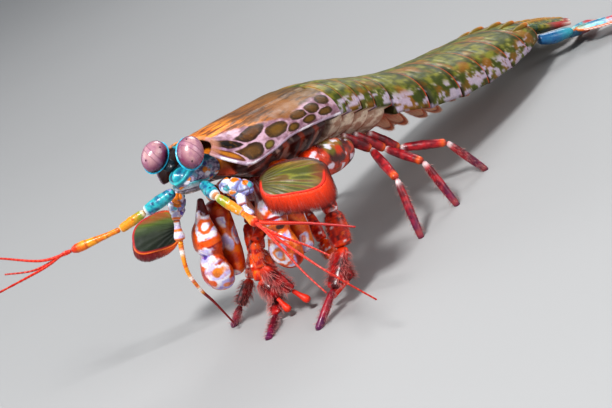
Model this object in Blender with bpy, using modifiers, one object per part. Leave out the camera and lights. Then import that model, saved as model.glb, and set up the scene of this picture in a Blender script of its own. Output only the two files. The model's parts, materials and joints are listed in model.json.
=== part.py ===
"""Life-size model of a peacock mantis shrimp, standing on its legs with its claws hanging folded.

The animal faces -Y, its left side is +X and the floor is z = 0. Sizes are millimetres in the
animal's own layout, and every mesh is written in metres. The layout is moved at the end so that
the origin lies under the middle of the whole model.
"""

import math

import bmesh
import bpy
from mathutils import Vector

MM = 0.001
GAP = 0.3                       # clearance between neighbouring pieces
LEFT, RIGHT = 1, -1
SIDES = {"left": LEFT, "right": RIGHT}

# Trunk: where the back's midline starts, and each ring's length and slope behind the carapace
CARAPACE_FRONT = (3.0, 40.6)    # y, z of the front of the back's midline
CARAPACE_LENGTH = 29.6
CARAPACE_SLOPE = 9.0
SHELL = 1.0                     # thickness of the carapace
THORAX_LENGTHS = (4.2, 4.4, 4.6, 5.0)
THORAX_SLOPES = (15.0, 20.0, 24.0, 25.0)
THORAX_WIDTHS = (12.2, 12.6, 13.0, 13.4, 13.8)
THORAX_HEIGHT = 8.2             # back to the rim of the side plates
THORAX_BELLY = 4.6              # rim to the underside
BELLY_INSET = 2.2               # the underside is this much narrower than the rim
ABDOMEN_LENGTHS = (11.0, 11.0, 10.5, 10.5, 10.0, 9.0)
ABDOMEN_SLOPES = (22.0, 17.5, 14.0, 12.0, 12.0, 14.0)
ABDOMEN_WIDTHS = (14.2, 14.9, 15.2, 15.2, 14.8, 13.6, 11.6)
ABDOMEN_HEIGHTS = (9.6, 9.8, 9.6, 9.2, 8.6, 7.4, 5.6)
TELSON_LENGTH = 24.0
TELSON_SLOPE = 21.0
STEP = 0.5                      # how far each ring's rear edge stands over the next ring

MATERIALS = {
    "shell_olive": ((0.20, 0.17, 0.03), 0.35, 0.0),
    "shell_brown": ((0.45, 0.17, 0.02), 0.30, 0.0),
    "head_blue": ((0.02, 0.30, 0.42), 0.30, 0.0),
    "cornea_pink": ((0.50, 0.20, 0.30), 0.20, 0.0),
    "feeler_orange": ((0.80, 0.30, 0.02), 0.35, 0.0),
    "feeler_red": ((0.62, 0.01, 0.01), 0.35, 0.0),
    "claw_mottled": ((0.80, 0.45, 0.35), 0.25, 0.0),
    "claw_red": ((0.45, 0.02, 0.01), 0.25, 0.0),
    "leg_maroon": ((0.22, 0.01, 0.03), 0.35, 0.0),
    "leg_red": ((0.75, 0.06, 0.01), 0.35, 0.0),
    "tail_blue": ((0.03, 0.16, 0.30), 0.35, 0.0),
}


def clear_scene():
    for item in list(bpy.data.objects):
        bpy.data.objects.remove(item)


def collection(name):
    made = bpy.data.collections.new(name)
    bpy.context.scene.collection.children.link(made)
    return made


def material(name):
    known = bpy.data.materials.get(name)
    if known:
        return known
    colour, roughness, metallic = MATERIALS[name]
    made = bpy.data.materials.new(name)
    made.use_nodes = True
    shader = made.node_tree.nodes["Principled BSDF"]
    shader.inputs["Base Color"].default_value = (*colour, 1.0)
    shader.inputs["Roughness"].default_value = roughness
    shader.inputs["Metallic"].default_value = metallic
    return made


def lerp(low, high, share):
    return low + (high - low) * share


def smooth_value(values, share):
    """A smooth curve through evenly spaced values, read at a share from 0 to 1."""
    place = min(max(share, 0.0), 1.0) * (len(values) - 1)
    i = min(int(place), len(values) - 2)
    t = place - i
    before = values[max(i - 1, 0)]
    after = values[min(i + 2, len(values) - 1)]
    a, b = values[i], values[i + 1]
    ma, mb = (b - before) / 2, (after - a) / 2
    return (a * (2 * t**3 - 3 * t**2 + 1) + ma * (t**3 - 2 * t**2 + t)
            + b * (3 * t**2 - 2 * t**3) + mb * (t**3 - t**2))


def smooth_table(table, share):
    """Reads rows of (share, value, value, ...) on smooth curves through their values."""
    shares = [row[0] for row in table]
    i = max(k for k in range(len(table) - 1) if shares[k] <= share or k == 0)
    span = shares[i + 1] - shares[i]
    t = min(max((share - shares[i]) / span, 0.0), 1.0)

    def slope(k, column):
        low, high = max(k - 1, 0), min(k + 1, len(table) - 1)
        return (table[high][column] - table[low][column]) / (shares[high] - shares[low])

    found = []
    for column in range(1, len(table[0])):
        a, b = table[i][column], table[i + 1][column]
        found.append(a * (2 * t**3 - 3 * t**2 + 1) + slope(i, column) * span * (t**3 - 2 * t**2 + t)
                     + b * (3 * t**2 - 2 * t**3) + slope(i + 1, column) * span * (t**3 - t**2))
    return found


def smooth_path(points, count):
    """Evenly shared points on a smooth curve through the given ones."""
    columns = [[p[k] for p in points] for k in range(3)]
    return [Vector([smooth_value(c, i / (count - 1)) for c in columns]) for i in range(count)]


class Station:
    """A place on the back's midline: across is +X, back runs to the tail, up leaves the back."""

    def __init__(self, y, z, slope):
        angle = math.radians(slope)
        self.origin = Vector((0.0, y, z))
        self.back = Vector((0.0, math.cos(angle), -math.sin(angle)))
        self.up = Vector((0.0, math.sin(angle), math.cos(angle)))

    def at(self, across, back, up):
        return self.origin + Vector((across, 0.0, 0.0)) + self.back * back + self.up * up


def mesh_object(name, bm, finish, target, smooth_angle=40.0):
    """Finishes a bmesh in millimetres as a named object in metres."""
    bmesh.ops.recalc_face_normals(bm, faces=bm.faces)
    bmesh.ops.scale(bm, vec=(MM, MM, MM), verts=bm.verts)
    mesh = bpy.data.meshes.new(name)
    bm.to_mesh(mesh)
    bm.free()
    mesh.shade_smooth()
    mesh.set_sharp_from_angle(angle=math.radians(smooth_angle))
    mesh.materials.append(material(finish))
    made = bpy.data.objects.new(name, mesh)
    target.objects.link(made)
    return made


def loft(name, rings, finish, target, start=None, end=None, smooth_angle=40.0):
    """A closed skin over rings of equal count. start and end are its tips, or None for flat."""
    bm = bmesh.new()
    rows = [[bm.verts.new(p) for p in ring] for ring in rings]
    count = len(rings[0])
    for low, high in zip(rows, rows[1:]):
        for i in range(count):
            j = (i + 1) % count
            bm.faces.new((low[i], low[j], high[j], high[i]))
    for row, tip in ((rows[0], start), (rows[-1], end)):
        if tip is None:
            bm.faces.new(row)
            continue
        apex = bm.verts.new(tip)
        for i in range(count):
            bm.faces.new((row[i], row[(i + 1) % count], apex))
    return mesh_object(name, bm, finish, target, smooth_angle)


def ring(centre, wide, thin, half_wide, half_thin, count, turn=0.0):
    steps = [turn + 2 * math.pi * i / count for i in range(count)]
    return [centre + wide * (half_wide * math.cos(a)) + thin * (half_thin * math.sin(a))
            for a in steps]


def tube(name, points, radii, finish, target, wide=(1, 0, 0), count=8, tips=(0.0, 0.0),
         flat_end=False):
    """A limb of round or oval rings along points. radii holds (half wide, half thin) for each."""
    points = [Vector(p) for p in points]
    reference = Vector(wide)
    rings = []
    for i, point in enumerate(points):
        along = (points[min(i + 1, len(points) - 1)] - points[max(i - 1, 0)]).normalized()
        if flat_end and i == len(points) - 1:
            along = Vector((0.0, 0.0, -1.0))
        side = (reference - along * reference.dot(along)).normalized()
        half_wide, half_thin = radii[i]
        rings.append(ring(point, side, along.cross(side), half_wide, half_thin, count))
    if flat_end:
        for p in [p for around in rings[:-1] for p in around]:
            p.z = max(p.z, FOOT_CLEARANCE)
    first = (points[0] - points[1]).normalized() * tips[0]
    last = (points[-1] - points[-2]).normalized() * tips[1]
    end = None if flat_end else points[-1] + last
    return loft(name, rings, finish, target, points[0] + first, end)


SEGMENT = ((0.16, 0.86), (0.5, 1.0), (0.84, 0.86))     # share of length, share of girth
NECK = 0.62                                            # girth at a joint, as a share
FOOT_RADIUS = 0.75
FOOT_CLEARANCE = 0.15           # only the flat of a foot is lower than this


def limb(name, start, segments, finish, target, wide=(1, 0, 0), count=6, foot=False, tip=0.5):
    """A jointed limb as one body. Each segment is (end point, half wide, half thin)."""
    begin = Vector(start)
    points, radii = [], []
    before = segments[0][1:]
    for end, half_wide, half_thin in segments:
        end = Vector(end)
        neck = [NECK * min(a, b) for a, b in zip(before, (half_wide, half_thin))]
        points.append(begin)
        radii.append(tuple(neck))
        for share, girth in SEGMENT:
            points.append(begin.lerp(end, share))
            radii.append((half_wide * girth, half_thin * girth))
        begin, before = end, (half_wide, half_thin)
    points.append(begin)
    if foot:
        radii.append((FOOT_RADIUS, FOOT_RADIUS))
    else:
        radii.append((before[0] * NECK, before[1] * NECK))
    return tube(name, points, radii, finish, target, wide, count, (0.3, tip), flat_end=foot)


def fuse(name, pieces, finish, target):
    """Joins closed pieces into one node and keeps its largest closed surface."""
    base, *others = pieces
    group = bpy.data.collections.new(name + "_pieces")
    for item in others:
        for home in list(item.users_collection):
            home.objects.unlink(item)
        group.objects.link(item)
    join = base.modifiers.new("join", "BOOLEAN")
    join.operation = "UNION"
    join.operand_type = "COLLECTION"
    join.collection = group
    bpy.context.view_layer.update()
    depsgraph = bpy.context.evaluated_depsgraph_get()
    joined = bpy.data.meshes.new_from_object(base.evaluated_get(depsgraph))
    bm = bmesh.new()
    bm.from_mesh(joined)
    keep_largest(bm)
    bm.to_mesh(joined)
    bm.free()
    joined.materials.clear()
    joined.materials.append(material(finish))
    made = bpy.data.objects.new(name, joined)
    target.objects.link(made)
    for item in [base, *others]:
        bpy.data.objects.remove(item)
    bpy.data.collections.remove(group)
    return made


def keep_largest(bm):
    """Deletes all but the closed surface with the most faces."""
    left = set(bm.faces)
    islands = []
    while left:
        stack = [left.pop()]
        island = set(stack)
        while stack:
            for edge in stack.pop().edges:
                for face in edge.link_faces:
                    if face in left:
                        left.remove(face)
                        island.add(face)
                        stack.append(face)
        islands.append(island)
    islands.sort(key=len)
    doomed = [face for island in islands[:-1] for face in island]
    bmesh.ops.delete(bm, geom=doomed, context="FACES")


DROOP = 0.72                    # how far a hanging fringe turns from straight out


def leaf(name, place, outline, centre, top, bottom, finish, target, shares, fringe=None,
         droop=None):
    """A plate with a given outline. place(a, b, h) gives a point; top and bottom are heights.

    fringe lengthens the outline point by point, as a thin comb of pointed vanes. It stands
    straight out, or turns towards the direction droop.
    """
    bm = bmesh.new()
    spread = [(share, 0.0) for share in shares]
    if fringe:
        spread.append((1.0, 1.0))
    layers = []
    for height in (top, bottom):
        rows = []
        for share, comb in spread:
            row = []
            for i, (a, b) in enumerate(outline):
                pa = centre[0] + (a - centre[0]) * share
                pb = centre[1] + (b - centre[1]) * share
                point = place(pa, pb, height(pa, pb, share + comb))
                if comb:
                    out = point - place(centre[0], centre[1], height(pa, pb, share + comb))
                    out.normalize()
                    if droop:
                        turn = DROOP * min(max(0.5 + out.dot(droop), 0.0), 1.0)
                        out = out.lerp(droop, turn).normalized()
                    point += out * fringe[i]
                row.append(bm.verts.new(point))
            rows.append(row)
        hub = bm.verts.new(place(centre[0], centre[1], height(centre[0], centre[1], 0.0)))
        layers.append((rows, hub))
    count = len(outline)
    for rows, hub in layers:
        for i in range(count):
            bm.faces.new((hub, rows[0][i], rows[0][(i + 1) % count]))
        for low, high in zip(rows, rows[1:]):
            for i in range(count):
                j = (i + 1) % count
                bm.faces.new((low[i], low[j], high[j]))
                bm.faces.new((low[i], high[j], high[i]))
    (upper, _), (lower, _) = layers
    for i in range(count):
        j = (i + 1) % count
        bm.faces.new((upper[-1][i], upper[-1][j], lower[-1][j], lower[-1][i]))
    return mesh_object(name, bm, finish, target)


def oval(length, width, count, blunt=2.4):
    """Outline of a paddle: a runs from the root, b across. blunt over 2 squares its ends."""
    points = []
    for i in range(count):
        angle = 2 * math.pi * (i + 0.5) / count
        c, s = math.cos(angle), math.sin(angle)
        a = math.copysign(abs(c) ** (2 / blunt), c) * length / 2 + length / 2
        b = math.copysign(abs(s) ** (2 / blunt), s) * width / 2
        points.append((a, b))
    return points


# Carapace and head

CARAPACE_TABLE = (
    # share of the length, half width, height of the back over the rim
    (0.00, 7.6, 3.4),
    (0.06, 10.0, 5.8),
    (0.14, 12.0, 7.8),
    (0.33, 13.1, 7.5),
    (0.50, 13.8, 6.6),
    (0.75, 14.0, 6.9),
    (1.00, 13.2, 7.8),
)
HORN = 3.2                      # how far the front corners reach before the middle
ARCH = 2.3                      # squareness of the carapace's cross-section
CORE_TABLE = (
    # share of the body's length, half width, height over the rim, depth under it
    (0.00, 8.2, 5.6, 0.2),
    (0.20, 9.0, 7.3, 0.6),
    (0.40, 9.7, 7.3, 3.2),
    (0.60, 10.2, 7.2, 5.2),
    (0.80, 10.3, 7.1, 5.6),
    (1.00, 9.8, 6.9, 5.4),
)
CORE_WAIST = 0.42               # how much the body narrows towards its underside
CORE_RIM = (-8.9, -8.6)         # height of its widest line at the front and at the rear


def arch(across, width, height, square=ARCH):
    """A point of a rounded arch: across runs from -1 to 1."""
    angle = across * math.pi / 2
    x = math.copysign(abs(math.sin(angle)) ** (2 / square), angle) * width
    return x, -height + height * max(math.cos(angle), 0.0) ** (2 / square)


def carapace(target):
    station = Station(*CARAPACE_FRONT, CARAPACE_SLOPE)
    across_count, along_count = 14, 11
    bm = bmesh.new()
    rows = []
    for j in range(along_count + 1):
        share = (j / along_count) ** 1.4
        width, height = smooth_table(CARAPACE_TABLE, share)
        row = []
        for i in range(across_count + 1):
            across = -1 + 2 * i / across_count
            x, up = arch(across, width, height)
            bow = across * across
            start = -HORN * bow * bow
            finish = CARAPACE_LENGTH - 0.2 * (1 - bow)
            row.append(bm.verts.new(station.at(x, lerp(start, finish, share), up)))
        rows.append(row)
    for low, high in zip(rows, rows[1:]):
        for i in range(across_count):
            bm.faces.new((low[i], low[i + 1], high[i + 1], high[i]))
    made = mesh_object("carapace", bm, "shell_brown", target)
    if made.data.polygons[len(made.data.polygons) // 2].normal.z < 0:
        made.data.flip_normals()
    shell = made.modifiers.new("shell", "SOLIDIFY")
    shell.thickness = SHELL * MM
    shell.offset = -1.0
    return made


def cephalothorax(target):
    """The body under the carapace, cut back below the face to leave room for the claws."""
    station = Station(*CARAPACE_FRONT, CARAPACE_SLOPE)
    count, rings = 12, []
    for j in range(8):
        share = j / 7
        width, height, depth = smooth_table(CORE_TABLE, share)
        rim = lerp(*CORE_RIM, share)
        back = lerp(0.4, CARAPACE_LENGTH - 1.3, share)
        points = []
        for i in range(count):
            angle = 2 * math.pi * i / count
            high = math.sin(angle)
            rise = height if high > 0 else depth
            half = width * (1 - CORE_WAIST * max(0.0, -high))
            points.append(station.at(half * math.cos(angle), back, rim + rise * high))
        rings.append(points)
    return loft("cephalothorax", rings, "shell_olive", target)


FACE_STATIONS = (
    # along the back's line, up from it, half width, half height
    (0.1, -5.9, 6.0, 3.0),
    (-1.6, -6.2, 5.6, 3.0),
    (-3.6, -6.4, 4.5, 2.8),
    (-5.2, -6.4, 3.1, 2.3),
    (-6.4, -6.0, 1.5, 1.4),
)


def face(target):
    """The front of the head, which carries the eyes and feelers."""
    station = Station(*CARAPACE_FRONT, CARAPACE_SLOPE)
    rings = []
    for back, up, half_wide, half_high in FACE_STATIONS:
        rings.append(ring(station.at(0, back, up), Vector((1, 0, 0)), station.up,
                          half_wide, half_high, 12))
    return loft("head_front", rings, "head_blue", target, end=station.at(0, -6.9, -5.6))


def rostral_plate(target):
    """The small hinged shield between the eyes, in front of the carapace."""
    station = Station(*CARAPACE_FRONT, CARAPACE_SLOPE)
    outline = [(0.0, 2.7), (0.0, -2.7), (-1.2, -2.5), (-2.4, -1.7), (-3.3, -0.6),
               (-3.7, 0.0), (-3.3, 0.6), (-2.4, 1.7), (-1.2, 2.5)]
    outline = [(a - GAP, b) for a, b in outline]

    def place(a, b, h):
        return station.at(b, a, h - 0.25 - 0.035 * b * b)

    return leaf("rostral_plate", place, outline, (-1.8, 0.0),
                lambda a, b, s: 0.25 if s < 0.9 else 0.1,
                lambda a, b, s: -0.45, "shell_olive", target, (0.6, 1.0))


# Eyes: centre of each cornea, and the three half sizes across, deep and tall

EYES = {"left": Vector((5.5, -3.0, 40.0)), "right": Vector((-5.3, -1.5, 40.3))}
CORNEA_HALF = (2.55, 2.6, 3.15)
STALK_ROOT = Vector((1.9, -1.6, 37.2))
STALK_GIRTHS = ((0.0, 1.15), (0.3, 1.5), (0.65, 2.2), (1.0, 2.7))


def eye(side, target):
    centre = EYES[side]
    root = Vector((STALK_ROOT.x * SIDES[side], STALK_ROOT.y, STALK_ROOT.z))
    axis = (centre - root).normalized()
    rings, count = [], 10
    tall = Vector((0, 0, 1))
    tall = (tall - axis * tall.dot(axis)).normalized()
    across = axis.cross(tall)
    seat = (centre - root).length - 1.45
    start = GAP + 1.05
    for share, girth in STALK_GIRTHS:
        rings.append(ring(root + axis * lerp(start, seat, share), across, tall,
                          girth, girth * 1.12, count))
    loft("eyestalk_" + side, rings, "head_blue", target)
    rings = []
    for share in (0.02, 0.2, 0.42, 0.66, 0.88):
        angle = math.pi * lerp(0.34, 1.0, share)
        along = -math.cos(angle) * CORNEA_HALF[1]
        girth = math.sin(angle)
        rings.append(ring(centre + axis * along, across, tall,
                          CORNEA_HALF[0] * girth, CORNEA_HALF[2] * girth, 12))
    pole = centre + axis * CORNEA_HALF[1]
    loft("cornea_" + side, rings, "cornea_pink", target, end=pole)


# Feelers. The left antennule points more towards the front, the right one more aside.

ANTENNULES = {
    "left": ((4.0, -2.5, 33.2), (8.6, -5.4, 31.4), (13.0, -5.6, 27.1), (17.0, -7.6, 25.4)),
    "right": ((-3.7, -2.7, 33.0), (-9.2, -6.9, 31.8), (-14.0, -10.3, 30.7), (-23.0, -16.0, 30.8)),
}
ANTENNULE_GIRTHS = (1.30, 1.0, 0.74)
FLAGELLA = {
    "left": (((25.0, -10.5, 20.6), (32.0, -12.1, 15.5), (38.0, -10.7, 8.1)),
             ((23.6, -9.4, 22.4), (28.6, -10.2, 20.4), (33.0, -11.0, 18.2)),
             ((24.2, -11.8, 21.2), (28.6, -14.2, 17.4), (32.6, -15.6, 13.4))),
    "right": (((-29.0, -19.3, 31.4), (-37.0, -21.3, 34.4), (-46.0, -23.0, 37.0)),
              ((-28.0, -18.4, 30.1), (-31.6, -20.2, 30.0), (-36.4, -22.6, 31.4)),
              ((-27.6, -18.8, 30.0), (-31.4, -20.8, 29.4), (-44.0, -27.0, 28.0))),
}
FLAGELLUM_GIRTH = 0.34
FLAGELLUM_TIP = 0.16


def antennule(side, target):
    points = [Vector(p) for p in ANTENNULES[side]]
    segments = [(end, girth, girth) for end, girth in zip(points[1:], ANTENNULE_GIRTHS)]
    limb("antennule_" + side, points[0], segments, "feeler_orange", target,
         wide=(0, 0, 1), count=8, tip=0.1)
    along = (points[3] - points[2]).normalized()
    root = points[3] + along * (0.1 + GAP)
    strands = []
    for number, route in enumerate(FLAGELLA[side]):
        spread = Vector((0.0, 0.0, 0.1 * (number - 1)))
        path = smooth_path([root + along * 0.1 * number, root + along * 1.6 + spread, *route], 12)
        radii = []
        for i in range(len(path)):
            girth = lerp(FLAGELLUM_GIRTH, FLAGELLUM_TIP, i / (len(path) - 1))
            radii.append((girth, girth))
        strands.append(tube(f"strand_{number}", path, radii, "feeler_red", target,
                            wide=(0, 0.2, 1), count=6))
    fuse("antennule_flagella_" + side, strands, "feeler_red", target)


ANTENNAE = {
    "left": ((8.6, 0.6, 29.4), (9.6, -1.4, 26.8), (10.6, -1.8, 24.4),
             ((13.0, -2.5, 23.2), (18.0, -1.7, 21.8), (23.0, -0.6, 20.2), (30.0, 1.6, 17.0))),
    "right": ((-7.8, -0.2, 29.6), (-7.7, -2.2, 26.8), (-8.0, -3.6, 23.0),
              ((-8.2, -5.4, 17.6), (-8.3, -4.7, 12.8), (-8.7, -2.6, 8.2), (-9.2, -0.2, 1.8))),
}
ANTENNA_GIRTHS = (1.05, 0.85, 0.55)
ANTENNA_BASES = {
    "left": (((5.6, 0.2, 31.6), 1.0), ((7.2, 0.2, 30.5), 1.7), ((9.2, 1.1, 29.3), 1.7),
             ((10.8, 2.3, 28.4), 1.0)),
    "right": (((-5.6, 0.2, 31.6), 1.0), ((-6.9, -0.1, 30.4), 1.7), ((-7.9, -0.3, 28.6), 1.7),
              ((-8.4, -0.6, 26.6), 1.0)),
}


def antenna(side, target):
    """The second feeler: a stout base, two segments and one whip."""
    first, second, third, whip = ANTENNAE[side]
    path = smooth_path([third, *whip], 12)
    points = [Vector(first), Vector(first).lerp(Vector(second), 0.5), Vector(second),
              Vector(second).lerp(Vector(third), 0.5), *path]
    wide, mid, thin = ANTENNA_GIRTHS
    radii = [(wide * 0.8,) * 2, (wide,) * 2, (mid * 0.8,) * 2, (mid,) * 2]
    radii += [(lerp(thin, 0.18, (i / (len(path) - 1)) ** 0.6),) * 2 for i in range(len(path))]
    whip = tube("whip", points, radii, "feeler_orange", target, wide=(0, 0.3, 1), count=6)
    base = tube("base", [p for p, _ in ANTENNA_BASES[side]],
                [(g, g) for _, g in ANTENNA_BASES[side]], "feeler_orange", target,
                (0, 1, 0), 8, (0.2, 0.2))
    fuse("antenna_" + side, [base, whip], "feeler_orange", target)


# Antennal scales: root, and directions of the long axis, the near edge and the hanging fringe

SCALES = {
    "left": (Vector((11.9, 3.2, 28.8)), Vector((0.9, 0.42, -0.16)),
             Vector((0.33, -0.76, -0.55)), Vector((0.1, -0.15, -1.0))),
    "right": (Vector((-9.0, -0.9, 25.0)), Vector((-0.95, -0.16, 0.03)),
              Vector((-0.1, -0.65, -0.75)), Vector((-0.5, 0.5, -0.7))),
}
SCALE_LENGTH = 12.6
SCALE_WIDTH = 7.6
SCALE_FRINGE = 3.2
SCALE_VANES = 22


def antennal_scale(side, target):
    root, along, edge, droop = SCALES[side]
    along = along.normalized()
    edge = (edge - along * edge.dot(along)).normalized()
    normal = along.cross(edge) * (RIGHT if side == "left" else LEFT)
    outline = oval(SCALE_LENGTH, SCALE_WIDTH, 2 * SCALE_VANES)
    fringe = []
    for i, (a, b) in enumerate(outline):
        grown = min(max(a / SCALE_LENGTH * 1.6 - 0.12, 0.0), 1.0)
        fringe.append((SCALE_FRINGE if i % 2 else 0.5 * SCALE_FRINGE) * grown + 0.02)

    def place(a, b, h):
        bow = 0.035 * b * b + 0.006 * a * a
        return root + along * a + edge * b + normal * (h - bow)

    def top(a, b, share):
        return 0.45 * (1 - min(share, 1.0) ** 2) + (0.28 if share < 1.5 else 0.2)

    def bottom(a, b, share):
        return -0.28 if share < 1.5 else -0.2

    leaf("antennal_scale_" + side, place, outline, (SCALE_LENGTH * 0.5, 0.0),
         top, bottom, "shell_olive", target, (0.5, 1.0), fringe, droop.normalized())


# Mouth and limbs of the thorax

def mouthparts(target):
    """Upper lip and jaws, a low block under the head behind the claws."""
    rings = []
    for y, z, half_wide, half_high in ((10.2, 24.6, 1.6, 0.9), (11.2, 23.8, 2.6, 1.5),
                                       (12.8, 23.2, 2.9, 1.8), (14.4, 22.7, 2.4, 1.5),
                                       (15.4, 22.6, 1.4, 0.9)):
        rings.append(ring(Vector((0, y, z)), Vector((1, 0, 0)), Vector((0, 0, 1)),
                          half_wide, half_high, 10))
    return loft("mouthparts", rings, "claw_mottled", target)


CLAW_SHIFT = {"left": Vector((2.4, 2.8, 1.0)), "right": Vector((0.0, 0.0, 0.0))}
MERUS = (((9.2, 28.0, 20.8), 1.5, 1.6), ((9.4, 25.5, 20.8), 2.3, 2.8),
         ((9.6, 21.5, 21.6), 2.8, 3.4), ((9.5, 17.5, 22.6), 2.8, 3.3),
         ((9.2, 14.0, 23.8), 2.3, 2.6), ((8.9, 12.4, 24.4), 1.6, 1.8))
CARPUS = (((8.5, 11.6, 24.7), 1.4, 1.4), ((7.7, 10.3, 25.5), 1.9, 1.8),
          ((6.7, 9.1, 26.5), 1.7, 1.5), ((5.8, 8.0, 27.3), 1.1, 1.0))
PROPODUS = (((5.4, 6.9, 25.4), 1.4, 1.0), ((5.7, 6.9, 24.4), 2.4, 1.7),
            ((6.2, 6.7, 22.0), 2.9, 2.2), ((6.8, 6.3, 18.0), 3.0, 2.3),
            ((7.1, 5.9, 14.2), 2.8, 2.1), ((7.3, 5.3, 11.2), 2.4, 1.8),
            ((7.35, 4.9, 9.7), 1.6, 1.2))
DACTYL = (((7.3, 1.1, 9.2), 1.6, 1.1), ((7.3, 0.8, 10.5), 2.8, 1.9),
          ((7.3, 0.5, 12.8), 3.6, 2.5), ((7.25, 0.8, 15.3), 3.0, 2.3),
          ((7.1, 1.4, 16.9), 2.5, 1.9), ((6.9, 1.5, 19.0), 3.3, 2.3),
          ((6.6, 1.9, 21.4), 3.1, 2.0), ((6.1, 2.5, 23.6), 1.9, 1.4),
          ((5.5, 3.0, 25.8), 1.2, 0.9), ((4.9, 3.4, 28.0), 0.6, 0.5))


def claw_piece(name, side, stations, finish, target, count, tips):
    """One segment of the raptorial claw, mirrored for the right side."""
    shift = CLAW_SHIFT[side]
    points = [Vector((p[0] * SIDES[side], p[1], p[2])) + shift for p, _, _ in stations]
    radii = [(a, b) for _, a, b in stations]
    return tube(f"{name}_{side}", points, radii, finish, target, (1, 0, 0), count, tips)


def raptorial_claw(side, target):
    claw_piece("claw_merus", side, MERUS, "shell_olive", target, 10, (0.3, 0.3))
    claw_piece("claw_carpus", side, CARPUS, "claw_mottled", target, 8, (0.3, 0.2))
    claw_piece("claw_propodus", side, PROPODUS, "claw_red", target, 10, (0.3, 0.3))
    claw_piece("claw_dactyl", side, DACTYL, "claw_mottled", target, 12, (0.3, 0.6))


MAXILLIPEDS = {
    # name: start, then (end, half wide, half thin) for each segment, and whether it stands
    "maxilliped_3_left": ((2.9, 18.0, 23.0), (
        ((3.1, 9.4, 18.4), 1.0, 1.0), ((2.6, 4.0, 16.6), 1.3, 1.2),
        ((2.2, 2.6, 11.6), 1.3, 1.2), ((5.6, 3.8, 5.0), 1.8, 1.0),
        ((8.2, 4.2, 2.0), 0.6, 0.6)), False),
    "maxilliped_3_right": ((-2.9, 18.0, 23.0), (
        ((-2.9, 9.6, 18.2), 1.0, 1.0), ((-2.0, 6.4, 13.0), 1.2, 1.1),
        ((-1.2, 3.8, 8.2), 1.3, 1.1), ((1.8, 3.0, 4.2), 1.4, 0.9),
        ((4.0, 2.2, 1.5), 0.6, 0.6)), False),
    "maxilliped_4_left": ((3.7, 21.2, 23.3), (
        ((6.6, 16.2, 15.6), 1.0, 1.0), ((9.6, 13.6, 9.8), 1.4, 1.2),
        ((12.6, 11.2, 6.8), 1.5, 1.3), ((16.2, 8.0, 3.2), 1.8, 1.1),
        ((14.0, 3.2, 2.5), 0.65, 0.65)), False),
    "maxilliped_4_right": ((-3.7, 21.2, 22.7), (
        ((-5.0, 14.6, 17.6), 1.0, 1.0), ((-3.8, 10.6, 11.6), 1.2, 1.1),
        ((-1.6, 8.2, 4.8), 1.2, 1.1), ((1.4, 1.0, 1.8), 1.3, 0.7),
        ((3.0, -5.4, 0.0), 0.8, 0.8)), True),
    "maxilliped_5_left": ((4.2, 24.8, 23.2), (
        ((10.6, 18.6, 17.8), 1.2, 1.2), ((16.2, 12.6, 16.0), 1.7, 1.6),
        ((17.4, 9.8, 9.6), 2.3, 2.1), ((16.4, 3.0, 4.4), 1.8, 1.1),
        ((14.9, -4.0, 0.0), 0.8, 0.8)), True),
    "maxilliped_5_right": ((-4.2, 24.8, 23.1), (
        ((-6.6, 17.4, 15.4), 1.1, 1.1), ((-7.6, 12.4, 11.0), 1.4, 1.2),
        ((-8.4, 8.6, 6.6), 1.4, 1.2), ((-10.4, 4.6, 3.0), 1.5, 0.9),
        ((-12.0, 1.8, 0.0), 0.8, 0.8)), True),
}
CLEANERS = (((1.0, 13.6, 20.2), 0.6), ((1.0, 10.8, 18.4), 0.55), ((1.0, 9.2, 20.4), 0.5),
            ((0.9, 8.6, 24.0), 0.45), ((0.9, 7.6, 26.2), 0.6), ((0.9, 6.9, 27.4), 0.35))


def thorax_limbs(target):
    for name, (start, segments, stands) in MAXILLIPEDS.items():
        limb(name, start, segments, "leg_red", target, count=6, foot=stands)
    for side, sign in SIDES.items():
        points = [Vector((p[0] * sign, p[1], p[2])) for p, _ in CLEANERS]
        tube("maxilliped_1_" + side, points, [(g, g) for _, g in CLEANERS], "leg_red", target,
             count=6)


# Rings of the trunk behind the carapace

def trunk_stations():
    """Front station of every ring, with its length, from the carapace to the telson."""
    angle = math.radians(CARAPACE_SLOPE)
    y = CARAPACE_FRONT[0] + CARAPACE_LENGTH * math.cos(angle)
    z = CARAPACE_FRONT[1] - CARAPACE_LENGTH * math.sin(angle)
    found = []
    lengths = (*THORAX_LENGTHS, *ABDOMEN_LENGTHS, TELSON_LENGTH)
    slopes = (*THORAX_SLOPES, *ABDOMEN_SLOPES, TELSON_SLOPE)
    for length, slope in zip(lengths, slopes):
        station = Station(y, z, slope)
        found.append((station, length))
        end = station.at(0, length, 0)
        y, z = end.y, end.z
    return found


def thorax_section(station, back, width, height, count=14):
    """A closed ring: a broad arch above and a shallower belly below."""
    points = []
    for i in range(count):
        angle = 2 * math.pi * (i + 0.5) / count
        if math.sin(angle) > 0:
            up = -height + height * math.sin(angle) ** (2 / ARCH)
            x = math.copysign(abs(math.cos(angle)) ** (2 / ARCH), math.cos(angle)) * width
        else:
            up = -height + THORAX_BELLY * math.sin(angle)
            x = math.cos(angle) * (width - BELLY_INSET)
        points.append(station.at(x, back, up))
    return points


STERNUM = 0.34                  # how far the flat underside stands above the rim


def abdomen_section(station, back, width, height, count=10):
    """A closed ring whose side plates hang below a flat underside."""
    points = []
    for i in range(count + 1):
        across = 1 - 2 * i / count
        x, up = arch(across, width, height)
        points.append(station.at(x, back, up))
    sternum = -(1 - STERNUM) * height
    for x, up in ((-width + 1.3, -height + 0.1), (-0.80 * width, sternum - 0.3),
                  (-0.4 * width, sternum), (0.4 * width, sternum),
                  (0.80 * width, sternum - 0.3), (width - 1.3, -height + 0.1)):
        points.append(station.at(x, back, up))
    return points


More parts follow.
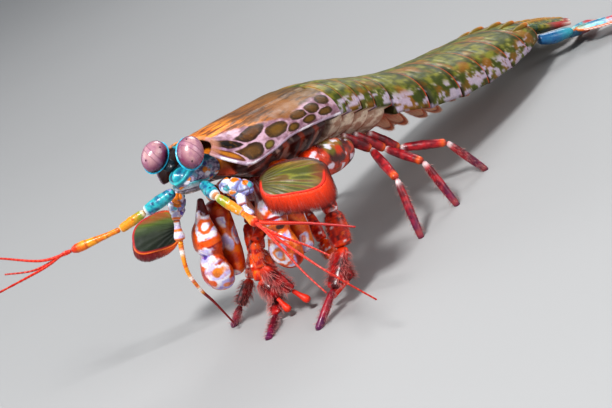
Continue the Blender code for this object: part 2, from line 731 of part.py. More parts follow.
def trunk_ring(name, station, length, section, widths, heights, finish, target, wedge):
    """One ring. Its rear edge stands STEP over the next, and wedge clears the bend below."""
    rings = []
    for share, grow in ((0.0, -STEP), (0.12, -0.1), (0.55, 0.0), (0.97, 0.1), (1.0, -0.15)):
        back = lerp(GAP, length - 0.02, share)
        width = lerp(widths[0], widths[1], share) + grow
        height = lerp(heights[0], heights[1], share)
        points = section(station, back, width, height)
        lift = station.up * (grow * 0.6)
        points = [p + lift for p in points]
        points = [p + station.back * (wedge * (1 - share)
                                      * max(0.0, -(p - station.origin).dot(station.up)))
                  for p in points]
        rings.append(points)
    return loft(name, rings, finish, target)


def trunk(target):
    stations = trunk_stations()
    slopes = (CARAPACE_SLOPE, *THORAX_SLOPES, *ABDOMEN_SLOPES, TELSON_SLOPE)
    for i in range(len(THORAX_LENGTHS) + len(ABDOMEN_LENGTHS)):
        station, length = stations[i]
        bend = max(0.0, math.radians(slopes[i + 1] - slopes[i]))
        wedge = math.tan(bend)
        j = i - len(THORAX_LENGTHS)
        if j < 0:
            trunk_ring(f"thorax_{i + 5}", station, length, thorax_section,
                       THORAX_WIDTHS[i:i + 2], (THORAX_HEIGHT, THORAX_HEIGHT),
                       "shell_olive", target, wedge)
            continue
        ring_made = trunk_ring(f"abdomen_{j + 1}", station, length, abdomen_section,
                               ABDOMEN_WIDTHS[j:j + 2], ABDOMEN_HEIGHTS[j:j + 2],
                               "shell_olive", target, wedge)
    bosses(ring_made, station, length, target)


BOSSES = (2.6, 6.2, 9.6)        # how far the sixth ring's keels stand from the middle


def bosses(ring_made, station, length, target):
    """Joins three pairs of spined keels to the last ring of the abdomen."""
    pieces = [ring_made]
    ring_made.name = "last_ring"
    width = lerp(ABDOMEN_WIDTHS[-2], ABDOMEN_WIDTHS[-1], 0.6)
    height = lerp(ABDOMEN_HEIGHTS[-2], ABDOMEN_HEIGHTS[-1], 0.6)
    for sign in (LEFT, RIGHT):
        for across in BOSSES:
            _, up = arch(2 / math.pi * math.asin((across / width) ** (ARCH / 2)), width, height)
            points = [station.at(sign * across, length * share, up + lift)
                      for share, lift in ((0.3, -0.5), (0.6, 0.0), (0.9, 0.25), (1.0, 0.1))]
            radii = [(0.4, 0.5), (0.6, 0.7), (0.5, 0.55), (0.25, 0.25)]
            pieces.append(tube("keel", points, radii, "shell_olive", target, (1, 0, 0), 6,
                               (0.3, 0.7)))
    fuse("abdomen_6", pieces, "shell_olive", target)


# Walking legs, under the last three rings of the thorax: elbow, knee and foot on the left

HIP = 7.4                       # across from the middle
WALKING_LEGS = (
    ((9.6, 38.6, 16.6), (17.4, 32.6, 11.6), (20.4, 28.0, 0.0)),
    ((9.8, 42.4, 14.6), (18.6, 41.0, 10.6), (22.4, 40.2, 0.0)),
    ((9.8, 46.6, 12.4), (18.0, 51.4, 9.4), (21.4, 55.2, 0.0)),
)
LEG_GIRTHS = ((1.15, 1.15), (1.05, 1.0), (0.95, 0.85))


def walking_legs(target):
    rings = trunk_stations()[1:4]
    for number, joints in enumerate(WALKING_LEGS):
        station, length = rings[number]
        belly = THORAX_WIDTHS[number + 1] - BELLY_INSET
        depth = THORAX_HEIGHT + THORAX_BELLY * math.sqrt(1 - (HIP / belly) ** 2)
        for side, sign in SIDES.items():
            hip = station.at(sign * HIP, length * 0.6, -depth - GAP - 0.55)
            segments = [(Vector((x * sign, y, z)), a, b)
                        for (x, y, z), (a, b) in zip(joints, LEG_GIRTHS)]
            limb(f"walking_leg_{number + 1}_{side}", hip, segments, "leg_maroon", target,
                 wide=(0, 1, 0), count=6, foot=True)


# Swimming legs: one pair for each of the first five rings of the abdomen

PLEOPOD_DROPS = (7.2, 7.0, 6.4, 5.6, 4.8)       # length of each paddle
PLEOPOD_LEANS = (52.0, 56.0, 60.0, 64.0, 68.0)   # degrees back from straight down
PLEOPOD_GILLS = 4


def swimming_legs(target):
    stations = trunk_stations()[len(THORAX_LENGTHS):]
    for number in range(5):
        station, length = stations[number]
        width = ABDOMEN_WIDTHS[number]
        height = lerp(*ABDOMEN_HEIGHTS[number:number + 2], 0.35)
        sternum = -(1 - STERNUM) * height - 0.2 - GAP
        lean = math.radians(PLEOPOD_LEANS[number])
        reach = PLEOPOD_DROPS[number]
        bar_points = [station.at(x, length * 0.35, sternum - 0.75)
                      for x in (-0.66 * width, 0.0, 0.66 * width)]
        bar = tube("bar", bar_points, [(0.7, 0.7)] * 3, "leg_red", target, (0, 1, 0), 6)
        pieces = [bar]
        for sign in (LEFT, RIGHT):
            for lobe, (inner, turn) in enumerate(((0.30, -0.06), (0.52, 0.14))):
                root = station.at(sign * inner * width, length * 0.35, sternum - 0.8)
                along = (station.back * math.sin(lean) - station.up * math.cos(lean)
                         + Vector((sign * turn, 0, 0))).normalized()
                across = (Vector((1, 0, 0)) - along * along.x).normalized()
                tip = root + along * (reach - lobe * 0.8)
                half = 0.13 * width
                points = [root, root.lerp(tip, 0.4), root.lerp(tip, 0.75), tip]
                radii = [(0.5 * half, 0.45), (half, 0.42), (0.85 * half, 0.36), (0.3 * half, 0.28)]
                pieces.append(tube(f"paddle_{sign}_{lobe}", points, radii, "leg_red", target,
                                   across, 6))
            for gill in range(PLEOPOD_GILLS):
                start = station.at(sign * lerp(0.28, 0.56, gill / (PLEOPOD_GILLS - 1)) * width,
                                   length * 0.35, sternum - 0.8)
                end = start + station.back * 3.0 + Vector((sign * 0.4, 0, 0)) - station.up * 0.2
                pieces.append(tube(f"gill_{sign}_{gill}", [start, end],
                                   [(0.36, 0.36), (0.26, 0.26)], "leg_red", target, (1, 0, 0), 5))
        fuse(f"pleopods_{number + 1}", pieces, "leg_red", target)


# Tail fan

TELSON_HALF = ((7.8, 0.0), (9.2, 3.4), (10.6, 8.0), (10.9, 13.0), (10.7, 17.4), (8.9, 16.9),
               (8.4, 19.6), (7.9, 21.8), (6.2, 20.0), (4.6, 21.8), (3.4, 24.0), (1.9, 21.4))
KEELS = (0.0, 3.4, 6.6)


def telson(target):
    station, length = trunk_stations()[-1]
    half = [(s, x) for x, s in TELSON_HALF]
    outline = half + [(20.6, 0.0)] + [(s, -x) for s, x in reversed(half)] + [(0.0, 0.0)]
    outline = [(a + GAP, b) for a, b in outline]

    wedge = math.tan(math.radians(TELSON_SLOPE - ABDOMEN_SLOPES[-1]))

    def place(a, b, h):
        return station.at(b, a + wedge * (1 - a / length) * max(0.0, -h), h)

    def top(a, b, share):
        dome = -0.5 - 0.016 * b * b
        ridge = sum(math.exp(-((abs(b) - keel) / 0.8) ** 2) for keel in KEELS)
        return dome + 0.55 * ridge * (1 - share ** 6) - 0.5 * share ** 4

    def bottom(a, b, share):
        return -0.016 * b * b - 1.7 - 2.9 * (1 - a / (length + GAP)) * (1 - share ** 6)

    return leaf("telson", place, outline, (10.0, 0.0), top, bottom, "shell_olive", target,
                (0.2, 0.4, 0.6, 0.8, 0.93, 1.0))


STALK = (((10.2, 108.8, 6.8), 1.1, 1.1), ((12.6, 111.6, 5.5), 1.6, 1.5),
         ((13.9, 114.6, 4.8), 1.7, 1.3), ((14.7, 116.8, 4.2), 1.1, 0.9))
INNER_PRONG = (((13.4, 115.4, 3.9), 1.0, 0.8), ((12.6, 119.4, 2.5), 0.8, 0.7),
               ((11.8, 123.4, 1.2), 0.6, 0.55), ((11.4, 126.0, 0.0), 0.45, 0.45))
OUTER_PRONG = (((14.6, 115.4, 3.9), 0.9, 0.8), ((15.4, 119.0, 2.6), 0.7, 0.6),
               ((15.8, 122.4, 1.5), 0.3, 0.3))
BLADES = {
    # name: root, long axis, length, width, fringe
    "exopod": (Vector((16.4, 116.0, 4.6)), Vector((0.78, 0.60, -0.16)), 12.0, 5.6, 2.4),
    "endopod": (Vector((13.9, 116.4, 4.2)), Vector((0.05, 0.97, -0.20)), 10.6, 3.6, 1.8),
}
BLADE_VANES = 16


def uropod(side, target):
    """Stalk with its two-pronged spine, the spined outer blade and the inner blade."""
    sign = SIDES[side]

    def part(name, stations, count, tips, flat=False):
        points = [Vector((p[0] * sign, p[1], p[2])) for p, _, _ in stations]
        return tube(name, points, [(a, b) for _, a, b in stations], "tail_blue", target,
                    (1, 0, 0), count, tips, flat_end=flat)

    pieces = [part("stalk", STALK, 8, (0.2, 0.3)),
              part("inner_prong", INNER_PRONG, 6, (0.0, 0.0), flat=True),
              part("outer_prong", OUTER_PRONG, 6, (0.0, 0.7)),
              tail_blade("endopod", sign, *BLADES["endopod"], False, target)]
    fuse("uropod_stalk_" + side, pieces, "tail_blue", target)
    tail_blade("uropod_exopod_" + side, sign, *BLADES["exopod"], True, target)


def tail_blade(name, sign, root, along, length, width, reach, spined, target):
    """A thin domed blade with a combed fringe, and movable spines along an exopod's edge."""
    root = Vector((root.x * sign, root.y, root.z))
    along = Vector((along.x * sign, along.y, along.z)).normalized()
    normal = Vector((0, 0, 1))
    normal = (normal - along * normal.dot(along)).normalized()
    across = along.cross(normal) * sign
    outline = oval(length, width, 2 * BLADE_VANES)
    fringe = []
    for i, (a, b) in enumerate(outline):
        grown = min(max(a / length * 1.8 - 0.2, 0.0), 1.0)
        if spined and b > 0.2 * width and a < 0.75 * length:
            fringe.append(1.5 if i % 2 else 0.05)
        else:
            fringe.append((reach if i % 2 else 0.5 * reach) * grown + 0.02)

    def place(a, b, h):
        return root + along * a + across * b + normal * (h - 0.03 * b * b)

    def top(a, b, share):
        rib = 0.25 * math.exp(-(b / 0.6) ** 2)
        return 0.35 * (1 - min(share, 1.0) ** 2) + (0.28 if share < 1.5 else 0.2) + rib

    def bottom(a, b, share):
        return -0.28 if share < 1.5 else -0.2

    return leaf(name, place, outline, (length * 0.5, 0.0), top, bottom, "tail_blue", target,
                (0.5, 1.0), fringe)


def build():
    clear_scene()
    target = collection("mantis_shrimp")
    carapace(target)
    cephalothorax(target)
    face(target)
    rostral_plate(target)
    mouthparts(target)
    for side in SIDES:
        eye(side, target)
        antennule(side, target)
        antenna(side, target)
        antennal_scale(side, target)
        raptorial_claw(side, target)
        uropod(side, target)
    thorax_limbs(target)
    walking_legs(target)
    trunk(target)
    swimming_legs(target)
    telson(target)
    centre_model(target)


def centre_model(target):
    """Moves everything so that the origin is under the middle of the model's box."""
    bpy.context.view_layer.update()
    depsgraph = bpy.context.evaluated_depsgraph_get()
    corners = []
    for item in target.objects:
        mesh = item.evaluated_get(depsgraph).data
        corners += [v.co.copy() for v in mesh.vertices]
    low = Vector([min(c[k] for c in corners) for k in range(3)])
    high = Vector([max(c[k] for c in corners) for k in range(3)])
    move = Vector((-(low.x + high.x) / 2, -(low.y + high.y) / 2, 0.0))
    for item in target.objects:
        item.location = move
    print("model box", low / MM, high / MM, "moved by", move / MM)


build()
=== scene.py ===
"""Looks of the peacock mantis shrimp, in millimetres of the animal's own layout.

The animal faces -Y, its left side is +X and the floor is z = 0. Every piece is made of numpy
grids with a colour at each vertex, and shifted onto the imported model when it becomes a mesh.
"""

import json
import math
from itertools import product

import bpy
import numpy as np
from mathutils import Matrix, Vector


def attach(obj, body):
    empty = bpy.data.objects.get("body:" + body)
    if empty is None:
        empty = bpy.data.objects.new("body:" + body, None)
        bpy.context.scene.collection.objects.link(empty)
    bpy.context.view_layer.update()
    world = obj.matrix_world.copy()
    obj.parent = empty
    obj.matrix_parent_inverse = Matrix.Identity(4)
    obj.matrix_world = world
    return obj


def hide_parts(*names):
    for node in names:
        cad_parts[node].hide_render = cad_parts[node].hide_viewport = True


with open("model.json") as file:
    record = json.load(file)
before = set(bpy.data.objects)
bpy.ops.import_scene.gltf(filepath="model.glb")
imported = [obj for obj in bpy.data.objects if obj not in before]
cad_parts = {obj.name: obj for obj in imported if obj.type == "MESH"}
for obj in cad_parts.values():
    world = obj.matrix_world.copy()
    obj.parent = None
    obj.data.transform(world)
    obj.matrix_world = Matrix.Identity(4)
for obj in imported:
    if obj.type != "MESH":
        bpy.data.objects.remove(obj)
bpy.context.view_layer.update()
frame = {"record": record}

MM = 0.001
FOOT = np.array((22.4, 40.2, 0.0))         # layout place of the foot that the record mounts
MOUNT = next(m for m in frame["record"]["mounts"] if m["name"] == "foot_left")
SHIFT = np.array(MOUNT["pos_m"]) / MM - FOOT
SIDES = {"left": 1, "right": -1}
RANDOM = np.random.default_rng(23)
PATCH = 0.003                              # width of one bristle's place on its map
X = np.array((1.0, 0.0, 0.0))
Z = np.array((0.0, 0.0, 1.0))


# Numbers and colours

def unit(v):
    v = np.asarray(v, float)
    return v / np.maximum(np.linalg.norm(v, axis=-1, keepdims=True), 1e-9)


def ramp(low, high, x):
    """0 below low, 1 above high, smooth between them."""
    t = np.clip((np.asarray(x, float) - low) / (high - low), 0.0, 1.0)
    return t * t * (3 - 2 * t)


def bell(x, centre, half):
    return np.exp(-((np.asarray(x, float) - centre) / half) ** 2)


def colour(text):
    """A linear colour from the usual six hexadecimal digits."""
    value = np.array([int(text[i:i + 2], 16) / 255 for i in (0, 2, 4)])
    return np.where(value <= 0.04045, value / 12.92, ((value + 0.055) / 1.055) ** 2.4)


def mix(low, high, share):
    """Blends colours, given as six digits or as fields, by a field of shares."""
    low, high = (colour(tone) if isinstance(tone, str) else tone for tone in (low, high))
    share = np.clip(np.asarray(share, float), 0.0, 1.0)[..., None]
    return low * (1 - share) + high * share


def gradient(x, rows):
    """Colours along x from rows of (place, colour)."""
    places = [place for place, _ in rows]
    tones = np.array([colour(text) for _, text in rows])
    return np.stack([np.interp(x, places, tones[:, k]) for k in range(3)], axis=-1)


def lattice(cell, seed):
    """A fixed random number from 0 to 1 for every whole-numbered place."""
    x, y, z = (cell[..., k].astype(np.int64) for k in range(3))
    mixed = (x * 73856093) ^ (y * 19349663) ^ (z * 83492791) ^ (seed * 2654435761)
    mixed = ((mixed ^ (mixed >> 13)) * 1274126177) & 0x7FFFFFFF
    mixed = mixed ^ (mixed >> 15)
    return (mixed & 0xFFFF) / 0xFFFF


def noise(points, size, seed):
    place = np.asarray(points) / size + 100.0
    cell = np.floor(place)
    part = place - cell
    part = part * part * (3 - 2 * part)
    total = 0.0
    for corner in product((0, 1), repeat=3):
        weight = np.prod(np.where(corner, part, 1 - part), axis=-1)
        total = total + weight * lattice(cell + corner, seed)
    return total


def clouds(points, size, seed, octaves=3):
    total, weights = 0.0, 0.0
    for k in range(octaves):
        total = total + noise(points, size / 2**k, seed + k) / 2**k
        weights += 1 / 2**k
    return total / weights


def mottle(points, size, seed, low=0.35, high=0.65):
    """Soft random patches: 0 where the clouds are under low, 1 where they are over high."""
    return ramp(low, high, clouds(points, size, seed))


def cells(points, size, seed):
    """Distances to the nearest and next scattered centre, in sizes, and the nearest's number."""
    place = np.asarray(points) / size + 100.0
    base = np.floor(place)
    first = np.full(place.shape[:-1], 9.0)
    second = first.copy()
    pick = np.zeros_like(first)
    for offset in product((-1, 0, 1), repeat=3):
        cell = base + offset
        stray = np.stack([lattice(cell, seed + k) for k in (1, 2, 3)], axis=-1) - 0.5
        gap = np.linalg.norm(place - cell - 0.5 - 0.9 * stray, axis=-1)
        nearer = gap < first
        second = np.where(nearer, first, np.minimum(second, gap))
        pick = np.where(nearer, lattice(cell, seed + 9), pick)
        first = np.minimum(first, gap)
    return first, second, pick


def circle(count):
    """Evenly spaced angles round a full turn."""
    return 2 * math.pi * np.arange(count) / count


def travelled(points):
    """The distance along a line of points from its start to each of them."""
    return np.concatenate([[0], np.cumsum(np.linalg.norm(np.diff(points, axis=0), axis=1))])


def round_off(x):
    """Rises like a quarter of a circle, from nearly 0 to 1, as x goes from 0 to 1."""
    return np.sqrt(np.clip(1 - (1 - np.clip(x, 0, 1)) ** 2, 0.0004, 1))


def ovals(centre, side, third, wide, thin, angle):
    """Oval rings round a line of centres, with their half sizes along side and third."""
    side, third = (np.broadcast_to(way, centre.shape)[:, None] for way in (side, third))
    return (centre[:, None] + side * (wide[:, None] * np.cos(angle))[..., None]
            + third * (thin[:, None] * np.sin(angle))[..., None])


def catmull(values, places):
    """Values on a smooth curve through evenly numbered rows, at fractional row numbers."""
    values = np.asarray(values, float)
    last = len(values) - 1
    i = np.clip(places.astype(int), 0, last - 1)
    t = (places - i)[:, None]
    a, b = values[i], values[i + 1]
    ma = (b - values[np.maximum(i - 1, 0)]) / 2
    mb = (values[np.minimum(i + 2, last)] - a) / 2
    return (a * (2 * t**3 - 3 * t**2 + 1) + ma * (t**3 - 2 * t**2 + t)
            + b * (3 * t**2 - 2 * t**3) + mb * (t**3 - t**2))


def table(rows, shares):
    """Reads rows of (share, value, value, ...) on smooth curves through their values."""
    rows = np.asarray(rows, float)
    known = rows[:, 0]
    i = np.clip(np.searchsorted(known, shares, side="right") - 1, 0, len(known) - 2)
    span = known[i + 1] - known[i]
    t = np.clip((shares - known[i]) / span, 0, 1)[..., None]
    low = np.maximum(np.arange(len(known)) - 1, 0)
    high = np.minimum(np.arange(len(known)) + 1, len(known) - 1)
    slope = (rows[high, 1:] - rows[low, 1:]) / (known[high] - known[low])[:, None]
    a, b, span = rows[i, 1:], rows[i + 1, 1:], span[..., None]
    found = (a * (2 * t**3 - 3 * t**2 + 1) + slope[i] * span * (t**3 - 2 * t**2 + t)
             + b * (3 * t**2 - 2 * t**3) + slope[i + 1] * span * (t**3 - t**2))
    return np.moveaxis(found, -1, 0)


# Meshes

def grid_normals(points, around):
    """Unit normals of a grid of points, closed or open along its second axis."""
    along = np.gradient(points, axis=0)
    if around:
        side = np.roll(points, -1, axis=1) - np.roll(points, 1, axis=1)
    else:
        side = np.gradient(points, axis=1)
    return unit(np.cross(side, along))


class Piece:
    """Collects closed surfaces with a colour at every vertex, for one joined mesh."""

    def __init__(self, name):
        self.name = name
        self.points, self.paints, self.maps = [], [], []
        self.quads, self.tris = [], []
        self.count = 0

    def add(self, points, paint, quads, tris=(), uv=None):
        points = np.asarray(points, float).reshape(-1, 3)
        paint = np.broadcast_to(paint, points.shape) if np.ndim(paint) == 1 else paint
        self.points.append(points)
        self.paints.append(np.asarray(paint, float).reshape(-1, 3))
        if uv is not None:
            self.maps.append(np.asarray(uv, float).reshape(-1, 2))
        quads = np.asarray(quads, int).reshape(-1, 4)
        tris = np.asarray(tris, int).reshape(-1, 3)
        if self.volume(points, quads, tris) < 0:
            quads, tris = quads[:, ::-1], tris[:, ::-1]
        self.quads.append(quads + self.count)
        self.tris.append(tris + self.count)
        self.count += len(points)

    @staticmethod
    def volume(points, quads, tris):
        """Signed volume inside closed faces: negative if they face inwards."""
        near = points - points.mean(axis=0)
        corners = np.concatenate([tris, quads[:, (0, 1, 2)], quads[:, (0, 2, 3)]])
        a, b, c = (near[corners[:, k]] for k in range(3))
        return np.sum(a * np.cross(b, c))

    def tube(self, points, paint):
        """A closed skin over a grid of rings, with a fan at each end."""
        rings, sides = points.shape[:2]
        number = np.arange(rings * sides).reshape(rings, sides)
        low, high = number[:-1], number[1:]
        quads = np.stack([low, np.roll(low, -1, 1), np.roll(high, -1, 1), high], -1)
        flat = points.reshape(-1, 3)
        hubs = np.stack([points[0].mean(0), points[-1].mean(0)])
        tones = np.stack([paint[0].mean(0), paint[-1].mean(0)])
        first, last = rings * sides, rings * sides + 1
        tris = np.concatenate([
            np.stack([np.roll(number[0], -1), number[0], np.full(sides, first)], -1),
            np.stack([number[-1], np.roll(number[-1], -1), np.full(sides, last)], -1)])
        self.add(np.concatenate([flat, hubs]),
                 np.concatenate([paint.reshape(-1, 3), tones]), quads, tris)

    def shell(self, points, thickness, paint, shaded_inside):
        """A sheet with thickness below it and a rounded edge. Its last argument is its colour inside,
        which the callers paint darker than the top as painted shade.
        """
        rows, columns = points.shape[:2]
        inner = points - grid_normals(points, False) * thickness[..., None]
        number = np.arange(rows * columns).reshape(rows, columns)
        top = np.stack([number[:-1, :-1], number[:-1, 1:], number[1:, 1:], number[1:, :-1]], -1)
        below = top[..., ::-1] + rows * columns
        edge = np.concatenate([number[0], number[1:, -1], number[-1, -2::-1], number[-2:0:-1, 0]])
        flat, flat_inner = points.reshape(-1, 3), inner.reshape(-1, 3)
        middle = (flat[edge] + flat_inner[edge]) / 2
        out = unit(np.cross(np.roll(flat[edge], -1, 0) - np.roll(flat[edge], 1, 0),
                            flat[edge] - flat_inner[edge]))
        middle = middle + out * thickness.reshape(-1, 1)[edge] * 0.45
        start = 2 * rows * columns
        belt = start + np.arange(len(edge))
        forward = np.roll(np.arange(len(edge)), -1)
        sides = np.concatenate([
            np.stack([edge, belt, belt[forward], edge[forward]], -1),
            np.stack([belt, edge + rows * columns, edge[forward] + rows * columns,
                      belt[forward]], -1)])
        tones = np.concatenate([paint.reshape(-1, 3), shaded_inside.reshape(-1, 3),
                                paint.reshape(-1, 3)[edge]])
        quads = np.concatenate([top.reshape(-1, 4), below.reshape(-1, 4), sides])
        self.add(np.concatenate([flat, flat_inner, middle]), tones, quads)

    @staticmethod
    def plate_faces(rows, count):
        number = 1 + np.arange(rows * count).reshape(rows, count)
        low, high = number[:-1], number[1:]
        quads = np.stack([low, high, np.roll(high, -1, 1), np.roll(low, -1, 1)], -1)
        tris = np.stack([np.zeros(count, int), number[0], np.roll(number[0], -1)], -1)
        return quads.reshape(-1, 4), tris

    def leaf(self, upper, lower, hubs, paints, hub_paints):
        """A closed leaf from an upper and a lower grid of rings, from the hub outwards."""
        rows, count = upper.shape[:2]
        up_quads, up_tris = self.plate_faces(rows, count)
        size = 1 + rows * count
        edge = 1 + (rows - 1) * count + np.arange(count)
        rim = np.stack([edge, np.roll(edge, -1), np.roll(edge, -1) + size, edge + size], -1)
        quads = np.concatenate([up_quads, up_quads[:, ::-1] + size, rim[:, ::-1]])
        tris = np.concatenate([up_tris, up_tris[:, ::-1] + size])
        points = np.concatenate([[hubs[0]], upper.reshape(-1, 3), [hubs[1]], lower.reshape(-1, 3)])
        tones = np.concatenate([[hub_paints[0]], paints[0].reshape(-1, 3),
                                [hub_paints[1]], paints[1].reshape(-1, 3)])
        self.add(points, tones, quads, tris)

    def hairs(self, roots, ways, lengths, girth, root_tone, tip_tone, droop, bend, flat=None,
              places=None, steps=4):
        """Tapered three-sided bristles. droop is the way that their tips turn."""
        count, sides = len(roots), 3
        t = np.linspace(0, 1, steps)
        ways = unit(ways)
        lean = unit(ways[:, None] + np.asarray(droop, float) * (bend * t[:, None])[None])
        strides = lean * lengths[:, None, None] / (steps - 1)
        spine = roots[:, None] + np.concatenate(
            [np.zeros((count, 1, 3)), np.cumsum(strides[:, :-1], axis=1)], axis=1)
        if flat is None:
            helper = np.where(np.abs(ways[:, 2:]) > 0.8, X, Z)
            side, thin = unit(np.cross(ways, helper)), 1.0
        else:
            side, thin = unit(flat - ways * np.sum(flat * ways, -1, keepdims=True)), 0.45
        third = np.cross(ways, side)
        angles = circle(sides)
        ring = (side[:, None] * np.cos(angles)[:, None]
                + third[:, None] * np.sin(angles)[:, None] * thin)
        taper = np.maximum(1 - t**1.5, 0.12)[None, :, None, None]
        points = spine[:, :, None] + ring[:, None] * taper * girth
        tones = mix(np.asarray(root_tone)[..., None, :], np.asarray(tip_tone)[..., None, :],
                    np.broadcast_to(t, (count, steps)))
        tones = np.repeat(tones[:, :, None], sides, axis=2)
        number = np.arange(count * steps * sides).reshape(count, steps, sides)
        low, high = number[:, :-1], number[:, 1:]
        quads = np.stack([low, np.roll(low, -1, 2), np.roll(high, -1, 2), high], -1)
        ends = np.concatenate([number[:, -1], number[:, 0, ::-1]])
        uv = None
        if places is not None:
            spot = np.stack([np.broadcast_to(np.arange(sides) / sides, (steps, sides)),
                             np.broadcast_to(t[:, None], (steps, sides))], -1)
            uv = places[:, None, None] + PATCH * spot[None]
        self.add(points, tones, quads, ends, uv)

    def make(self, finish, nodes, slot):
        """Turns what was collected into an object that rides on the body."""
        points = (np.concatenate(self.points) + SHIFT) * MM
        points[:, 2] = np.maximum(points[:, 2], 0)
        quads, tris = np.concatenate(self.quads), np.concatenate(self.tris)
        corners = np.concatenate([quads.ravel(), tris.ravel()])
        starts = np.concatenate([4 * np.arange(len(quads)),
                                 4 * len(quads) + 3 * np.arange(len(tris))])
        mesh = bpy.data.meshes.new(self.name)
        mesh.vertices.add(len(points))
        mesh.vertices.foreach_set("co", points.ravel())
        mesh.loops.add(len(corners))
        mesh.loops.foreach_set("vertex_index", corners)
        mesh.polygons.add(len(starts))
        mesh.polygons.foreach_set("loop_start", starts)
        mesh.update(calc_edges=True)
        mesh.validate()
        tones = np.concatenate(self.paints)
        paint = mesh.color_attributes.new("Paint", "FLOAT_COLOR", "POINT")
        paint.data.foreach_set("color", np.c_[np.clip(tones, 0, 1), np.ones(len(tones))].ravel())
        if self.maps:
            layer = mesh.uv_layers.new(name="OFBake")
            places = np.concatenate(self.maps)[corners]
            layer.data.foreach_set("uv", places.ravel())
        mesh.shade_smooth()
        mesh.materials.append(finish)
        made = bpy.data.objects.new(self.name, mesh)
        bpy.context.scene.collection.objects.link(made)
        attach(made, "root")
        if nodes:
            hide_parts(*nodes)


def skin(name, points, paint, finish, node, slot):
    """One closed piece that takes the place of one solid."""
    piece = Piece(name)
    piece.tube(points, paint)
    piece.make(finish, (node,), slot)


# Materials: the painted colour, broken up by fine noise, with bump and uneven gloss

def add_node(tree, kind, **settings):
    """Adds a shader node. The settings are its inputs by name, with _ for a space."""
    made = tree.nodes.new("ShaderNode" + kind)
    for name, value in settings.items():
        made.inputs[name.replace("_", " ")].default_value = value
    return made


COAT_ROUGHNESS = 0.12
SCATTER_SCALE = 0.6
PIT_SHARE = 0.35
BUMP_STRENGTH = 0.6


def surface(name, rough, grain, bump, speckle=0.16, coat=0.0, sheen=0.0, scatter=0.0, ior=1.5):
    """grain is the size of the fine texture in millimetres, bump its depth in millimetres."""
    made = bpy.data.materials.new(name)
    made.use_nodes = True
    tree = made.node_tree
    shader = tree.nodes["Principled BSDF"]
    for socket, value in (("IOR", ior), ("Coat Weight", coat), ("Coat Roughness", COAT_ROUGHNESS),
                          ("Sheen Weight", sheen), ("Subsurface Weight", scatter),
                          ("Subsurface Scale", SCATTER_SCALE * MM)):
        shader.inputs[socket].default_value = value
    paint = add_node(tree, "Attribute")
    paint.attribute_name = "Paint"
    place = add_node(tree, "TexCoord")
    fine = add_node(tree, "TexNoise", Scale=1 / (grain * MM), Detail=5.0, Roughness=0.65)
    broad = add_node(tree, "TexNoise", Scale=1 / (grain * 6 * MM), Detail=3.0)
    pits = add_node(tree, "TexVoronoi", Scale=1 / (grain * 1.6 * MM))
    tone = add_node(tree, "MapRange", From_Min=0.3, From_Max=0.7, To_Min=1 - speckle,
                    To_Max=1 + speckle)
    gloss = add_node(tree, "MapRange", From_Min=0.3, From_Max=0.7, To_Min=rough * 0.7,
                     To_Max=min(rough * 1.35, 1.0))
    blend = tree.nodes.new("ShaderNodeMix")
    blend.data_type = "RGBA"
    blend.blend_type = "MULTIPLY"
    blend.inputs["Factor"].default_value = 1.0
    relief = tree.nodes.new("ShaderNodeMath")
    relief.operation = "MULTIPLY_ADD"
    relief.inputs[1].default_value = PIT_SHARE
    lift = add_node(tree, "Bump", Strength=BUMP_STRENGTH, Distance=bump * MM)
    for source, output, target, socket in (
            (place, "Object", fine, "Vector"), (place, "Object", broad, "Vector"),
            (place, "Object", pits, "Vector"), (fine, "Fac", tone, "Value"),
            (paint, "Color", blend, "A"), (tone, "Result", blend, "B"),
            (blend, "Result", shader, "Base Color"), (broad, "Fac", gloss, "Value"),
            (gloss, "Result", shader, "Roughness"), (pits, "Distance", relief, 0),
            (fine, "Fac", relief, 2), (relief, "Value", lift, "Height"),
            (lift, "Normal", shader, "Normal")):
        tree.links.new(source.outputs[output], target.inputs[socket])
    return made


SHELL = surface("Carapace shell", 0.42, 0.35, 0.05, coat=0.03, ior=1.34)
CUTICLE = surface("Limb cuticle", 0.38, 0.30, 0.05, coat=0.20, scatter=0.10)
CLAW = surface("Claw cuticle", 0.30, 0.32, 0.04, speckle=0.12, coat=0.3, scatter=0.08)
CORNEA = surface("Eye surface", 0.26, 0.14, 0.012, speckle=0.12, coat=0.55)
LEAF = surface("Scale leaf", 0.52, 0.40, 0.04, coat=0.03)
BRISTLE = surface("Bristles", 0.42, 0.25, 0.02, speckle=0.14, sheen=0.1)
TAIL = surface("Tail shell", 0.32, 0.32, 0.05, coat=0.3)


# Trunk: the same named sizes as the solids

GAP = 0.3
CARAPACE_FRONT = (3.0, 40.6)
CARAPACE_LENGTH = 29.6
CARAPACE_SLOPE = 9.0
SHELL_THICK = 1.0
THORAX_LENGTHS = (4.2, 4.4, 4.6, 5.0)
THORAX_SLOPES = (15.0, 20.0, 24.0, 25.0)
THORAX_WIDTHS = (12.2, 12.6, 13.0, 13.4, 13.8)
THORAX_HEIGHT = 8.2
THORAX_BELLY = 4.6
BELLY_INSET = 2.2
ABDOMEN_LENGTHS = (11.0, 11.0, 10.5, 10.5, 10.0, 9.0)
ABDOMEN_SLOPES = (22.0, 17.5, 14.0, 12.0, 12.0, 14.0)
ABDOMEN_WIDTHS = (14.2, 14.9, 15.2, 15.2, 14.8, 13.6, 11.6)
ABDOMEN_HEIGHTS = (9.6, 9.8, 9.6, 9.2, 8.6, 7.4, 5.6)
STERNUM = 0.34
TELSON_LENGTH = 24.0
TELSON_SLOPE = 21.0
STEP = 0.5
ARCH = 2.3
SECTION_POINTS = 112


